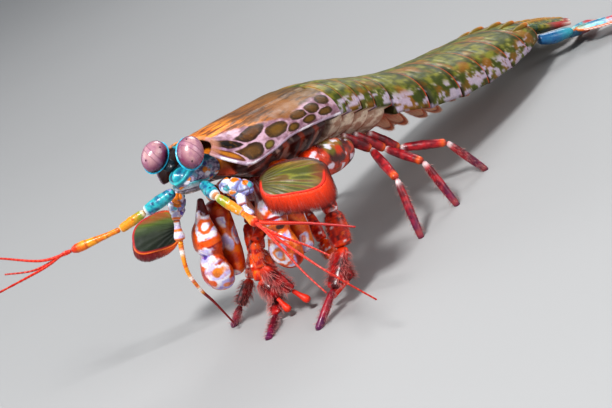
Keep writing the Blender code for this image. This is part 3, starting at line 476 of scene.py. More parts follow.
class Station:
    """A place on the back's midline: across is +X, back runs to the tail, up leaves the back."""

    def __init__(self, y, z, slope):
        angle = math.radians(slope)
        self.origin = np.array((0.0, y, z))
        self.back = np.array((0.0, math.cos(angle), -math.sin(angle)))
        self.up = np.array((0.0, math.sin(angle), math.cos(angle)))

    def at(self, across, back, up):
        across, back, up = np.broadcast_arrays(across, back, up)
        return (self.origin + across[..., None] * X + back[..., None] * self.back
                + up[..., None] * self.up)


def trunk_stations():
    angle = math.radians(CARAPACE_SLOPE)
    y = CARAPACE_FRONT[0] + CARAPACE_LENGTH * math.cos(angle)
    z = CARAPACE_FRONT[1] - CARAPACE_LENGTH * math.sin(angle)
    found = []
    lengths = (*THORAX_LENGTHS, *ABDOMEN_LENGTHS, TELSON_LENGTH)
    slopes = (*THORAX_SLOPES, *ABDOMEN_SLOPES, TELSON_SLOPE)
    for length, slope in zip(lengths, slopes):
        station = Station(y, z, slope)
        found.append((station, length))
        y, z = station.at(0.0, length, 0.0)[1:]
    return found


HEAD = Station(*CARAPACE_FRONT, CARAPACE_SLOPE)


def power(x, exponent):
    return np.sign(x) * np.abs(x) ** exponent


def arch(across, width, height):
    """Across and up of a rounded arch: across runs from -1 to 1."""
    angle = across * math.pi / 2
    return (power(np.sin(angle), 2 / ARCH) * width,
            -height + height * np.maximum(np.cos(angle), 0.0) ** (2 / ARCH))


CARAPACE_TABLE = (
    # share of the length, half width, height of the back over the rim
    (0.00, 7.6, 3.4),
    (0.06, 10.0, 5.8),
    (0.14, 12.0, 7.8),
    (0.33, 13.1, 7.5),
    (0.50, 13.8, 6.6),
    (0.75, 14.0, 6.9),
    (1.00, 13.2, 7.8),
)
HORN = 3.2                      # how far the front corners reach before the middle
CARAPACE_ROUND = 17.0           # from the midline round to the rim
CARAPACE_GRID = (171, 221)
CARAPACE_SPOTS = (
    # back, round from the midline, half sizes of these two, turn in degrees, colour, edge colour
    (0.4, 12.2, 2.1, 1.5, 8, "0a0403", "24100a"),
    (6.2, 10.1, 3.2, 1.4, -14, "5a340e", "2e1606"),
    (10.9, 13.0, 2.3, 1.7, 10, "6a4a14", "3c260a"),
    (7.3, 15.2, 1.15, 0.8, 0, "7a6a22", "4a3410"),
    (3.3, 14.5, 2.2, 1.6, 0, "5e3c0e", "341c08"),
    (-0.6, 15.7, 1.5, 0.75, 6, "b06c14", "5a2c0a"),
    (14.4, 15.2, 1.4, 0.9, 0, "6a4a14", "3c260a"),
    (17.6, 12.6, 1.9, 1.3, 0, "5e3c10", "34200a"),
    (19.4, 15.2, 1.7, 0.9, 0, "6a4a14", "3c260a"),
    (22.2, 12.6, 1.8, 1.4, 0, "5a3c10", "34200a"),
    (25.0, 15.0, 2.0, 0.9, 0, "664612", "3c260a"),
    (26.8, 11.6, 1.7, 1.4, 0, "563a12", "34200a"),
)


def carapace_grid():
    across = np.linspace(-1, 1, CARAPACE_GRID[1])[None, :]
    share = np.linspace(0, 1, CARAPACE_GRID[0])[:, None] ** 1.15
    width, height = (v[:, None] for v in table(CARAPACE_TABLE, share[:, 0]))
    x, up = arch(across, width, height)
    bow = across * across
    start = -HORN * bow * bow
    finish = CARAPACE_LENGTH - 0.2 * (1 - bow)
    back = start + (finish - start) * share
    groove = 5.2 + 0.05 * back
    up = up - 0.38 * bell(np.abs(x), groove, 0.5) * ramp(0.0, 4.0, back)
    up = up + 0.22 * bell(x, 0.0, 0.35) * ramp(1.0, 6.0, back) * ramp(27, 20, back)
    up = up + 0.16 * ramp(0.955, 0.985, np.abs(across)) + 0.12 * ramp(0.6, 0.0, back - start)
    points = HEAD.at(x, back, up)
    points = points + grid_normals(points, False) * (
        0.12 * (clouds(points, 2.2, 4) - 0.5) + 0.05 * (clouds(points, 0.5, 5) - 0.5))[..., None]
    return points, back, across


SPOT_GROWTH = 1.22


def spotted(base, along, round_, rows, wobble):
    """Paints oval spots with darker rims, and leaves a thin network of the field between them."""
    nearest = np.full(base.shape[:-1], 9.0)
    second = nearest.copy()
    spots = base
    for at, side, long, wide, turn, tone, rim in rows:
        angle = math.radians(turn)
        a, b = along - at, round_ - side
        u = (a * math.cos(angle) + b * math.sin(angle)) / long
        v = (b * math.cos(angle) - a * math.sin(angle)) / wide
        reach = (np.abs(u) ** 2.2 + np.abs(v) ** 2.2) ** (1 / 2.2) / SPOT_GROWTH
        closer = reach < nearest
        inside = mix(tone, rim, ramp(0.35, 0.85, reach))
        spots = np.where(closer[..., None], inside, spots)
        second = np.where(closer, nearest, np.minimum(second, reach))
        nearest = np.where(closer, reach, nearest)
    shown = ramp(0.12, 0.24, second - nearest + 0.6 * wobble) * ramp(1.06, 0.94, nearest + wobble)
    return mix(base, spots, shown)


def carapace():
    points, back, across = carapace_grid()
    turn = np.abs(across) * CARAPACE_ROUND
    long_streaks = clouds(points * np.array((1.0, 0.16, 1.0)), 0.7, 31, 4)
    wander = clouds(points, 1.4, 32) - 0.5
    middle = gradient(back + 3 * wander, ((-3, "c9781c"), (0, "f28a10"), (3, "c8640a"), (8, "d07a10"),
                                          (13, "7c4606"), (20, "8a540a"), (30, "5c4208")))
    middle = mix(middle, "3c2206", 0.75 * ramp(0.50, 0.66, long_streaks))
    middle = mix(middle, "ffb43c", 0.5 * ramp(0.52, 0.36, long_streaks) * ramp(12, 4, back))
    net = mix("86606f", "c6a2b2", mottle(points, 1.6, 33))
    net = mix(net, "4a3468", 0.6 * ramp(1.4, -2.6, back + 4 * wander) * ramp(5, 8, turn))
    side = spotted(net, back, turn, CARAPACE_SPOTS, 0.30 * (clouds(points, 1.3, 34) - 0.5))
    side = mix(side, "8a5a18", 0.30 * mottle(points, 0.5, 35, 0.55, 0.75))
    edge = np.interp(back, (-3, 0, 3.8, 9.9, 15, 21, 30), (8.2, 7.0, 5.9, 8.4, 12.0, 10.0, 9.4))
    edge = edge + 1.4 * wander
    paint = mix(middle, side, ramp(edge - 0.5, edge + 0.9, turn))
    lacy = bell(np.abs(across), 0.965, 0.012) * ramp(0.4, 0.6, long_streaks)
    paint = mix(paint, "6a3a50", 0.7 * lacy)
    rim = ramp(0.979, 0.990, np.abs(across))
    paint = mix(paint, mix("b8a0b4", "f2eaf2", ramp(0.4, 0.6, long_streaks)), rim)
    paint = mix(paint, "c88a70", 0.6 * ramp(1.0, 0.2, back - back.min(axis=0)))
    # Inside of the shell: a brown, mixed with near-black purple as painted shade.
    shaded_inside = mix("2c1c30", "7a3e24", clouds(points, 2.0, 36))
    thickness = SHELL_THICK * (0.55 + 0.25 * ramp(1.0, 0.9, np.abs(across)))
    piece = Piece("shell_carapace")
    piece.shell(points, thickness + 0 * back, paint, shaded_inside)
    piece.make(SHELL, ("carapace",), "shell_brown")


CORE_TABLE = (
    # share of the body's length, half width, height over the rim, depth under it
    (0.00, 8.2, 5.6, 0.2),
    (0.20, 9.0, 7.3, 0.6),
    (0.40, 9.7, 7.3, 3.2),
    (0.60, 10.2, 7.2, 5.2),
    (0.80, 10.3, 7.1, 5.6),
    (1.00, 9.8, 6.9, 5.4),
)
CORE_WAIST = 0.42
CORE_RIM = (-8.9, -8.6)


def capped(points, paint, depth=0.25):
    """Adds shrinking rings at both ends of a painted grid of rings, so that its edges are round."""
    def cap(first, second):
        centre = first.mean(axis=0)
        out = unit(centre - second.mean(axis=0)) * depth
        return np.array([centre + (first - centre) * math.cos(a) * 0.985 + out * math.sin(a)
                         for a in (1.45, 1.1, 0.7, 0.35)])
    start, end = cap(points[0], points[1]), cap(points[-1], points[-2])
    extra = len(start)
    return (np.concatenate([start, points, end[::-1]]),
            np.concatenate([paint[:1]] * extra + [paint] + [paint[-1:]] * extra))


def cephalothorax():
    share = np.linspace(0, 1, 80)
    width, height, depth = table(CORE_TABLE, share)
    rim = CORE_RIM[0] + (CORE_RIM[1] - CORE_RIM[0]) * share
    back = 0.4 + (CARAPACE_LENGTH - 1.7) * share
    angle = circle(96)
    high = np.sin(angle)[None, :]
    rise = np.where(high > 0, height[:, None], depth[:, None])
    half = width[:, None] * (1 - CORE_WAIST * np.maximum(0.0, -high))
    points = HEAD.at(half * np.cos(angle), back[:, None], rim[:, None] + rise * high)
    lines = np.sin(back[:, None] * 1.3 + 2.2 * high + 2.0 * clouds(points, 3.0, 41))
    points = points + grid_normals(points, True) * (0.14 * lines)[..., None]
    paint = mix("4a1208", "b43c10", ramp(0.35, 0.95, lines))
    paint = mix(paint, "d8b0a0", 0.7 * mottle(points, 1.5, 42, 0.58, 0.70))
    paint = mix(paint, "c8741c", ramp(8, 3, back[:, None]) * ramp(0.2, 0.6, high))
    skin("body_core", *capped(points, paint), CUTICLE, "cephalothorax", "shell_olive")


def ring_profile(share):
    return np.interp(share, (0.0, 0.12, 0.55, 0.97, 1.0), (-STEP, -0.1, 0.0, 0.1, -0.15))


def thorax_section(width, height):
    angle = circle(SECTION_POINTS) + math.pi / SECTION_POINTS
    above = np.sin(angle) > 0
    up = np.where(above, -height + height * power(np.maximum(np.sin(angle), 0), 2 / ARCH),
                  -height + THORAX_BELLY * np.sin(angle))
    x = np.where(above, power(np.cos(angle), 2 / ARCH) * width,
                 np.cos(angle) * (width - BELLY_INSET))
    return x, up, above + 0 * width


def abdomen_section(width, height):
    above = SECTION_POINTS * 2 // 3
    x, up = arch(np.linspace(1, -1, above)[None, :], width, height)
    sternum = -(1 - STERNUM) * height
    places = ((-1, 1.3, -1, 0.1), (-0.8, 0, 0, -0.3), (-0.4, 0, 0, 0), (0.4, 0, 0, 0),
              (0.8, 0, 0, -0.3), (1, -1.3, -1, 0.1))
    rows_x = np.stack([a * width[:, 0] + b for a, b, _, _ in places], -1)
    rows_up = np.stack([np.where(c < 0, -height[:, 0], sternum[:, 0]) + d
                        for _, _, c, d in places], -1)
    step = np.linspace(0, len(places) - 1, SECTION_POINTS - above)
    low = np.minimum(step.astype(int), len(places) - 2)
    part = step - low
    below_x = rows_x[:, low] * (1 - part) + rows_x[:, low + 1] * part
    below_up = rows_up[:, low] * (1 - part) + rows_up[:, low + 1] * part
    top = np.concatenate([np.ones(above), np.zeros(SECTION_POINTS - above)])
    return (np.concatenate([x, below_x], 1), np.concatenate([up, below_up], 1),
            top[None, :] + 0 * width)


def trunk_ring(name, number, station, length, section, widths, heights, wedge):
    share = np.concatenate([np.linspace(0, 0.1, 8)[:-1], np.linspace(0.1, 0.92, 30)[:-1],
                            np.linspace(0.92, 1, 10)])[:, None]
    back = GAP + (length - 0.02 - GAP) * share
    grow = ring_profile(share)
    width = widths[0] + (widths[1] - widths[0]) * share + grow
    height = heights[0] + (heights[1] - heights[0]) * share
    x, up, above = section(width, height)
    side = np.abs(x) / width
    up = up + grow * 0.6
    up = up - 0.16 * above * bell(share, 0.30, 0.05) * ramp(0.9, 0.6, side)
    back = back + wedge * (1 - share) * np.maximum(0.0, -up)
    points = station.at(x, back, up)
    rough = clouds(points, 1.8, 50 + number)
    points = points + grid_normals(points, True) * (0.10 * (rough - 0.5))[..., None]
    fleck = clouds(points * np.array((1, 0.5, 1)), 0.9, 60 + number, 4)
    shell = mix("3c4410", "7c7a22", ramp(0.35, 0.7, fleck))
    shell = mix(shell, "9a5c18", 0.6 * mottle(points, 3.4, 70 + number, 0.5, 0.7))
    first, _, pick = cells(points, 1.9, 80 + number)
    shell = mix(shell, "c8c08a", 0.55 * ramp(0.20, 0.10, first) * (pick > 0.45))
    shell = mix(shell, "221c08", 0.8 * ramp(0.14, 0.02, share) + 0.6 * bell(share, 0.86, 0.05))
    shell = mix(shell, "c83c12", ramp(0.93, 0.97, share))
    shell = mix(shell, "b8a8c0", 0.75 * ramp(0.90, 0.97, side) * ramp(0.5, 0.56, fleck))
    belly = mix("b8907a", "e6d2bc", ramp(0.4, 0.6, fleck))
    belly = mix(belly, "a83a1c", 0.7 * ramp(0.92, 0.98, share))
    paint = mix(belly, shell, above)
    piece = Piece("shell_" + name)
    piece.tube(*capped(points, paint, 0.12))
    return piece


BOSSES = (2.6, 6.2, 9.6)


def trunk():
    slopes = (CARAPACE_SLOPE, *THORAX_SLOPES, *ABDOMEN_SLOPES)
    for i, (station, length) in enumerate(trunk_stations()[:-1]):
        wedge = math.tan(max(0.0, math.radians(slopes[i + 1] - slopes[i])))
        j = i - len(THORAX_LENGTHS)
        if j < 0:
            name = f"thorax_{i + 5}"
            form = (thorax_section, THORAX_WIDTHS[i:i + 2], (THORAX_HEIGHT, THORAX_HEIGHT))
        else:
            name = f"abdomen_{j + 1}"
            form = (abdomen_section, ABDOMEN_WIDTHS[j:j + 2], ABDOMEN_HEIGHTS[j:j + 2])
        piece = trunk_ring(name, i, station, length, *form, wedge)
        if name == "abdomen_6":
            bosses(piece, station, length)
        piece.make(SHELL, (name,), "shell_olive")


def bosses(piece, station, length):
    """Three pairs of spined keels on the last ring of the abdomen."""
    width = ABDOMEN_WIDTHS[-2] * 0.4 + ABDOMEN_WIDTHS[-1] * 0.6
    height = ABDOMEN_HEIGHTS[-2] * 0.4 + ABDOMEN_HEIGHTS[-1] * 0.6
    for sign in (1, -1):
        for across in BOSSES:
            _, up = arch(2 / math.pi * math.asin((across / width) ** (ARCH / 2)), width, height)
            rows = [(station.at(sign * across, length * share, up + lift), a, b)
                    for share, lift, a, b in ((0.18, -0.6, 0.2, 0.2), (0.3, -0.35, 0.4, 0.5),
                                              (0.6, 0.0, 0.6, 0.7), (0.9, 0.25, 0.45, 0.5),
                                              (1.05, 0.12, 0.12, 0.12))]
            points, s, _ = body(rows, 26, 14, X)
            paint = gradient(s, ((0, "5a5a18"), (0.6, "8c6a20"), (0.85, "d07828"), (1, "f0e0d0")))
            piece.tube(points, np.repeat(paint[:, None], 14, 1))


# Limbs

def body(rows, count, sides, wide, cap=0.7):
    """Rings on a smooth curve through (place, half wide, half thin), rounded at both ends."""
    places = np.linspace(0, len(rows) - 1, count)
    centre = catmull([r[0] for r in rows], places)
    radii = np.maximum(catmull([(r[1], r[2]) for r in rows], places), 0.03)
    length = travelled(centre)
    near = np.minimum(length, length[-1] - length)
    radii = radii * round_off(near / np.maximum(radii.min(axis=1) * cap, 0.01))[:, None]
    along = unit(np.gradient(centre, axis=0))
    wide = np.asarray(wide, float)
    side = unit(wide - along * (along @ wide)[:, None])
    angle = circle(sides)
    points = ovals(centre, side, np.cross(along, side), *radii.T, angle)
    return points, length / length[-1], angle


# Profiles: share of a segment's length, share of its half width
JOINT_PROFILE = ((0.0, 0.50), (0.05, 0.66), (0.16, 0.86), (0.5, 1.0), (0.80, 0.90), (0.93, 0.82),
                 (1.0, 0.56))
TIP_PROFILE = ((0.0, 0.7), (0.2, 0.72), (0.45, 0.9), (0.75, 1.3), (0.9, 1.2), (1.0, 0.6))
FOOT_GIRTH = 0.75
LIMB_RELIEF = 0.12
BRISTLE_GIRTH = 0.05


def limb(piece, start, segments, wide, painter, count=34, foot=False):
    """A jointed limb: one closed body for each (end point, half wide, half thin), with collars.

    painter(number, points, s) gives the colours of a segment's grid. A foot ends in a flat.
    """
    begin = np.asarray(start, float)
    wide = np.asarray(wide, float)
    last = len(segments) - 1
    angle = circle(22)
    for number, (end, half_wide, half_thin) in enumerate(segments):
        stands = foot and number == last
        end = np.asarray(end, float)
        shares, girths = np.array(JOINT_PROFILE if foot or number < last else TIP_PROFILE).T
        if stands:
            girths = np.where(shares > 0.9, FOOT_GIRTH / half_wide, girths)
        s = np.concatenate([np.linspace(0, 0.12, 8)[:-1], np.linspace(0.12, 0.86, count)[:-1],
                            np.linspace(0.86, 1, 9)])
        ends = round_off(np.minimum(s, 1 - s) / 0.035)
        if stands:
            ends = np.where(s > 0.5, np.maximum(ends, 0.9), ends)
        girth = np.interp(s, shares, girths) * ends
        along = unit(end - begin)
        side = unit(wide - along * (along @ wide))
        points = ovals(begin + (end - begin) * s[:, None], side, np.cross(along, side),
                       half_wide * girth, half_thin * girth, angle)
        shake = LIMB_RELIEF * (clouds(points, 0.8, 90 + number) - 0.5) * ends[:, None]
        points = points + grid_normals(points, True) * shake[..., None]
        points[..., 2] = np.maximum(points[..., 2], 0.0)
        if stands:
            points[-1, :, 2] = 0.0
        piece.tube(points, painter(number, points, s[:, None] + 0 * angle))
        begin = end


def blotches(points, base, tones, size, seed):
    """Scatters round patches of the given tones on a field of colours."""
    first, _, pick = cells(points, size, seed)
    for k, (tone, low, high, reach) in enumerate(tones):
        chosen = (pick >= low) & (pick < high)
        ragged = first + 0.25 * (noise(points, size * 0.35, seed + 20 + k) - 0.5)
        base = mix(base, tone, chosen * ramp(reach, reach - 0.12, ragged))
    return base


# Head

FACE_STATIONS = (
    # along the back's line, up from it, half width, half height
    (0.1, -5.9, 6.0, 3.0),
    (-1.6, -6.2, 5.6, 3.0),
    (-3.6, -6.4, 4.5, 2.8),
    (-5.2, -6.4, 3.1, 2.3),
    (-6.4, -6.0, 1.5, 1.4),
    (-6.9, -5.6, 0.2, 0.2),
)


def face():
    """The front of the head: a teal plate with a raised border over pale frilled skin."""
    places = np.linspace(0, len(FACE_STATIONS) - 1, 90)
    back, up, half, high = catmull(FACE_STATIONS, places).T
    slim = np.interp(back, (-6.9, -2.5, 0.0), (0.95, 0.80, 0.95))
    half, high = np.maximum(half, 0.15) * slim, np.maximum(high, 0.15) * slim
    angle = circle(120)
    x = half[:, None] * np.cos(angle)
    y = back[:, None] + 0 * angle
    z = up[:, None] + high[:, None] * np.sin(angle)
    points = HEAD.at(x, y, z)
    reach = np.hypot(x / 3.0, (z + 4.6) / 2.3)
    border = bell(reach, 0.84, 0.12) * ramp(-1.6, -3.0, y)
    keel = bell(x, 0.0, 0.45) * ramp(-3.5, -5.5, y)
    points = points + grid_normals(points, True) * (
        0.30 * border + 0.25 * keel + 0.10 * (clouds(points, 0.7, 101) - 0.5))[..., None]
    teal = mix("07587e", "139cae", mottle(points, 0.9, 102))
    teal = mix(teal, "0a3c5a", 0.7 * bell(reach, 0.70, 0.10))
    teal = mix(teal, "3cc8c8", 0.7 * border + 0.5 * keel)
    pale = mix("5c5270", "b8a8c0", mottle(points, 0.5, 103, 0.4, 0.6))
    pale = mix(pale, "3f98a8", 0.6 * mottle(points, 0.8, 104, 0.5, 0.62))
    pale = blotches(points, pale, (("e0801c", 0.0, 0.26, 0.55), ("f0e8ee", 0.26, 0.48, 0.55),
                                   ("4a3a7a", 0.48, 0.66, 0.5)), 1.2, 105)
    # Painted shade: deep teal over the top back of the face, under the carapace's front edge and
    # behind the eyestalks.
    shaded_teal = mix("0c2a38", "14586a", mottle(points, 0.8, 106, 0.45, 0.6))
    outside = ramp(1.0, 1.15, reach) * ramp(-4.6, -5.4, z)
    paint = mix(teal, pale, np.maximum(outside, ramp(-3.6, -2.6, y) * ramp(-4.0, -5.0, z)))
    paint = mix(paint, "1a6a8a", 0.7 * bell(reach, 1.0, 0.07))
    paint = mix(paint, shaded_teal, ramp(-4.6, -3.9, z) * ramp(-4.9, -4.0, y))
    piece = Piece("head_skin")
    piece.tube(points, paint)
    frills(piece)
    piece.make(CUTICLE, ("head_front",), "head_blue")


def ribbon(piece, spine, way, width, thick, tone_in, tone_out, wave, seed):
    """A thin waved sheet that leaves a spine in a direction, with a paler or darker edge."""
    spine = np.asarray(spine, float)
    count = len(spine)
    t = np.linspace(0, 1, 9)
    step = np.arange(count) / (count - 1)
    fade = np.sin(math.pi * np.clip(step, 0.02, 0.98)) ** 0.5
    way = unit(np.broadcast_to(np.asarray(way, float), spine.shape))
    along = unit(np.gradient(spine, axis=0))
    normal = np.cross(along, way)
    ripple = np.sin(step * wave * 2 * math.pi + seed)
    points = (spine[None] + way[None] * (t[:, None] * (width * fade))[..., None]
              + normal[None] * (t[:, None] ** 1.5 * 0.22 * width * ripple[None])[..., None])
    paint = mix(tone_in, tone_out, t[:, None] + 0 * step)
    grain = mottle(points, 0.6, seed + 7, 0.45, 0.6)
    paint = mix(paint, paint * 0.45, 0.6 * grain)
    # The underside is the top colour at 0.6: painted shade.
    piece.shell(points, thick * (1 - 0.6 * t[:, None]) + 0 * step, paint, paint * 0.6)


def frills(piece):
    """Layered pale plates under the front of the head and beside the feelers' roots."""
    turns = np.linspace(-1.25, 1.25, 70)
    for k, (reach, drop, tone_in, tone_out) in enumerate(((1.00, 0.0, "4ab0b8", "d8d2dc"),
                                                          (0.90, -0.55, "8a7f92", "c8b8c8"),
                                                          (0.78, -1.1, "746a80", "e2cfc8"))):
        x = 4.7 * reach * np.sin(turns)
        back = -1.2 - 4.6 * reach * np.cos(turns)
        up = -8.0 + drop + 0.9 * np.cos(turns)
        spine = HEAD.at(x, back, up)
        ribbon(piece, spine, (0.0, -0.25, -1.0), 1.1, 0.28, tone_in, tone_out, 6 + k, 111 + k)


def rostral_plate():
    outline = smooth_outline([(0.0, 2.7), (0.0, -2.7), (-1.2, -2.5), (-2.4, -1.7), (-3.3, -0.6),
                              (-3.7, 0.0), (-3.3, 0.6), (-2.4, 1.7), (-1.2, 2.5)], 120, 5)
    outline[:, 0] -= GAP

    def place(a, b, h):
        return HEAD.at(b, a, h - 0.25 - 0.035 * b * b)

    def paint(points, a, b, s):
        tone = mix("3c3410", "7a6a24", mottle(points, 0.6, 121, 0.4, 0.6))
        return mix(tone, "2a8a98", ramp(0.8, 1.0, s))

    piece = Piece("plate_rostral")
    leaf(piece, place, outline, (-1.8, 0.0), lambda a, b, s: 0.25 - 0.15 * s**4,
         lambda a, b, s: -0.45 + 0.1 * s**4, paint, 14)
    piece.make(SHELL, ("rostral_plate",), "shell_olive")


def smooth_outline(corners, count, rounds):
    """Evenly spaced points along a closed outline, with its corners rounded a little."""
    corners = np.asarray(corners, float)
    closed = np.vstack([corners, corners[:1]])
    gone = travelled(closed)
    at = np.linspace(0, gone[-1], count, endpoint=False)
    found = np.stack([np.interp(at, gone, closed[:, k]) for k in (0, 1)], -1)
    for _ in range(rounds):
        found = 0.5 * found + 0.25 * (np.roll(found, 1, 0) + np.roll(found, -1, 0))
    return found


def bent_plate(root, along, across, normal, bend, sag=0.0):
    """Gives a function for points on a bent plate, from places along, across and above it."""
    def place(a, b, h):
        h = np.asarray(h) - bend * b * b - sag * a * a
        return (root + along * np.asarray(a)[..., None] + across * np.asarray(b)[..., None]
                + normal * h[..., None])
    return place


def map_places(a, b, length, width):
    """Where bristles at the edge of a plate sit on their map."""
    return 0.99 * np.stack([0.02 + 0.96 * np.clip(a / length, 0, 1), 0.5 + 0.95 * b / width], -1)


def leaf(piece, place, outline, centre, top, bottom, painter, rows):
    """A thin plate inside an outline. place(a, b, h) gives points; top and bottom are heights."""
    share = np.linspace(0, 1, rows + 1)[1:, None] ** 0.85
    centre = np.asarray(centre)
    a = centre[0] + (outline[:, 0] - centre[0]) * share
    b = centre[1] + (outline[:, 1] - centre[1]) * share
    s = share + 0 * a
    upper, lower = place(a, b, top(a, b, s)), place(a, b, bottom(a, b, s))
    zero = np.zeros(1)
    at = (centre[:1], centre[1:])
    hubs = (place(*at, top(*at, zero))[0], place(*at, bottom(*at, zero))[0])
    # The lower side is the upper side's colours at 0.8: painted shade.
    paints = (painter(upper, a, b, s), painter(lower, a, b, s) * 0.8)
    piece.leaf(upper, lower, hubs, paints, (paints[0][0].mean(0), paints[1][0].mean(0)))


# Eyes

EYES = {"left": np.array((5.5, -3.0, 40.0)), "right": np.array((-5.3, -1.5, 40.3))}
CORNEA_HALF = (2.55, 2.6, 3.15)
STALK_ROOT = np.array((1.9, -1.6, 37.2))
EYE_DOTS = {"left": ((0.42, 0.62), (-0.5, 0.7), (0.1, -0.75)),
            "right": ((0.15, -0.52), (-0.62, 0.45), (0.5, 0.55))}
EYE_WAYS = {"left": ((0.88, -0.30, 0.42), (0.10, 0.55, 0.83)),
            "right": ((0.36, -0.62, 0.70), (0.20, 0.60, 0.78))}


def eye(side):
    """A tall cornea with a midband, in a bright cup on a short stalk."""
    centre = EYES[side]
    root = STALK_ROOT * np.array((SIDES[side], 1, 1))
    facing = unit(EYE_WAYS[side][0])
    tall = np.array(EYE_WAYS[side][1])
    tall = unit(tall - facing * (tall @ facing))
    across = np.cross(facing, tall)
    angle = circle(128)

    def ring(polar, size):
        u = np.sin(polar)[:, None] * np.cos(angle)
        v = np.sin(polar)[:, None] * np.sin(angle)
        deep = np.cos(polar)[:, None] * CORNEA_HALF[1] * size
        return (centre + facing * deep[..., None] + across * (CORNEA_HALF[0] * size * u)[..., None]
                + tall * (CORNEA_HALF[2] * size * v)[..., None]), u, v

    polar = np.linspace(0.02, 0.62 * math.pi, 90)
    points, u, v = ring(polar, 1.0)
    front = np.cos(polar)[:, None] + 0 * u
    slant = v * math.cos(0.5) - u * math.sin(0.5)
    band = bell(slant, 0.0, 0.11)
    ridge = bell(np.abs(slant), 0.15, 0.03)
    points = points - grid_normals(points[::-1], True)[::-1] * (0.04 * band + 0.03 * ridge)[..., None]
    haze = clouds(points, 1.3, 131)
    tone = mix("7c3458", "c89a9c", ramp(0.30, 0.97, front) * 0.95)
    tone = mix(tone, "94587c", 0.5 * ramp(0.45, 0.62, haze))
    tone = mix(tone, "b888a0", 0.35 * band)
    tone = mix(tone, "6a3656", 0.6 * ridge)
    tone = mix(tone, "3c0e28", ramp(0.30, -0.05, front))
    for x, y in EYE_DOTS[side]:
        dot = np.hypot(u - x, v - y) + 0 * front
        tone = mix(tone, "3a1226", ramp(0.07, 0.045, dot) * (front > 0))
    skin("cornea_skin_" + side, points, tone, CORNEA, "cornea_" + side, "cornea_pink")

    polar = np.linspace(0.55 * math.pi, 0.86 * math.pi, 44)
    cup, u, v = ring(polar, 1.045)
    lip = np.linspace(0, 1, len(polar))
    cup = cup + (cup - centre) * (0.045 * bell(lip, 0.06, 0.05)
                                  - 0.05 * bell(lip, 0.34, 0.06))[:, None, None]
    base = root + unit(centre - root) * (GAP + 0.5)
    steps = np.linspace(0, 1, 22)[1:, None, None]
    foot = base + (cup[-1] - cup[-1].mean(0)) * 0.85
    stalk = cup[-1] * (1 - steps) + foot * steps
    cup = np.concatenate([cup, stalk])
    level = np.concatenate([lip, 1 + np.linspace(0, 1, 22)[1:]])[:, None]
    cup = cup - grid_normals(cup, True) * (0.08 * (clouds(cup, 0.8, 133) - 0.5))[..., None]
    blue = mix("0a5fb8", "14b4e4", mottle(cup, 1.0, 134))
    blue = mix(blue, "063a7c", 0.7 * bell(level, 0.36, 0.10))
    blue = mix(blue, "4ae0f0", 0.8 * bell(level, 0.08, 0.10))
    # Painted shade: the stalk darkens to near black towards its root under the carapace's front edge.
    blue = mix(blue, "0a1a24", ramp(1.15, 1.7, level))
    skin("eye_cup_" + side, cup, blue, CUTICLE, "eyestalk_" + side, "head_blue")


# Feelers

ANTENNULES = {
    "left": ((4.0, -2.5, 33.2), (8.6, -5.4, 31.4), (13.0, -5.6, 27.1), (17.0, -7.6, 25.4)),
    "right": ((-3.7, -2.7, 33.0), (-9.2, -6.9, 31.8), (-14.0, -10.3, 30.7), (-23.0, -16.0, 30.8)),
}
ANTENNULE_GIRTHS = (1.30, 1.0, 0.74)
FLAGELLA = {
    "left": (((25.0, -10.5, 20.6), (32.0, -12.1, 15.5), (38.0, -10.7, 8.1)),
             ((23.6, -9.4, 22.4), (28.6, -10.2, 20.4), (33.0, -11.0, 18.2)),
             ((24.2, -11.8, 21.2), (28.6, -14.2, 17.4), (32.6, -15.6, 13.4))),
    "right": (((-29.0, -19.3, 31.4), (-37.0, -21.3, 34.4), (-46.0, -23.0, 37.0)),
              ((-28.0, -18.4, 30.1), (-31.6, -20.2, 30.0), (-36.4, -22.6, 31.4)),
              ((-27.6, -18.8, 30.0), (-31.4, -20.8, 29.4), (-44.0, -27.0, 28.0))),
}
FLAGELLUM_GIRTHS = (0.34, 0.16)
WHIP_JOINT = 0.5


def whip(piece, path, girths, painter, count, sides):
    """A long thin feeler of many short joints. girths is (root, tip)."""
    centre = catmull(path, np.linspace(0, len(path) - 1, count))
    gone = travelled(centre)
    s = gone / gone[-1]
    girth = girths[0] + (girths[1] - girths[0]) * s ** 0.7
    girth = girth * (1 + 0.10 * np.cos(gone / WHIP_JOINT * 2 * math.pi))
    girth[-1] *= 0.4
    along = unit(np.gradient(centre, axis=0))
    side = unit(np.cross(along, Z + 0.1 * X))
    angle = circle(sides)
    points = ovals(centre, side, np.cross(along, side), girth, girth, angle)
    piece.tube(points, painter(points, s[:, None] + 0 * angle, gone[:, None] + 0 * angle))


def antennule_paint(number, points, s):
    blur = clouds(points, 0.9, 141)
    if number == 0:
        tone = mix("0e5f86", "34b0b8", ramp(0.35, 0.65, blur))
        tone = blotches(points, tone, (("a79ad0", 0.0, 0.3, 0.34), ("5a9a4a", 0.3, 0.5, 0.3),
                                       ("0a3f66", 0.5, 0.8, 0.4)), 0.9, 142)
        tone = mix(tone, "dfe8ea", ramp(0.86, 0.96, s))
        return mix(tone, "e88a1c", ramp(0.955, 1.0, s))
    if number == 1:
        tone = mix("8f9a1e", "e8951c", ramp(0.15, 0.6, s + 0.5 * (blur - 0.5)))
        tone = blotches(points, tone, (("e8e0e8", 0.0, 0.22, 0.3), ("c85a10", 0.3, 0.6, 0.34),
                                       ("5f8a2a", 0.6, 0.8, 0.3)), 0.8, 143)
        return mix(tone, "f0d8c0", 0.8 * (bell(s, 0.05, 0.06) + bell(s, 0.97, 0.03)))
    tone = mix("f0a01c", "e8740e", ramp(0.35, 0.65, blur))
    tone = mix(tone, "a8420a", 0.6 * bell(np.sin(s * 30), 1.0, 0.25))
    return mix(tone, "d8280c", ramp(0.7, 1.0, s))


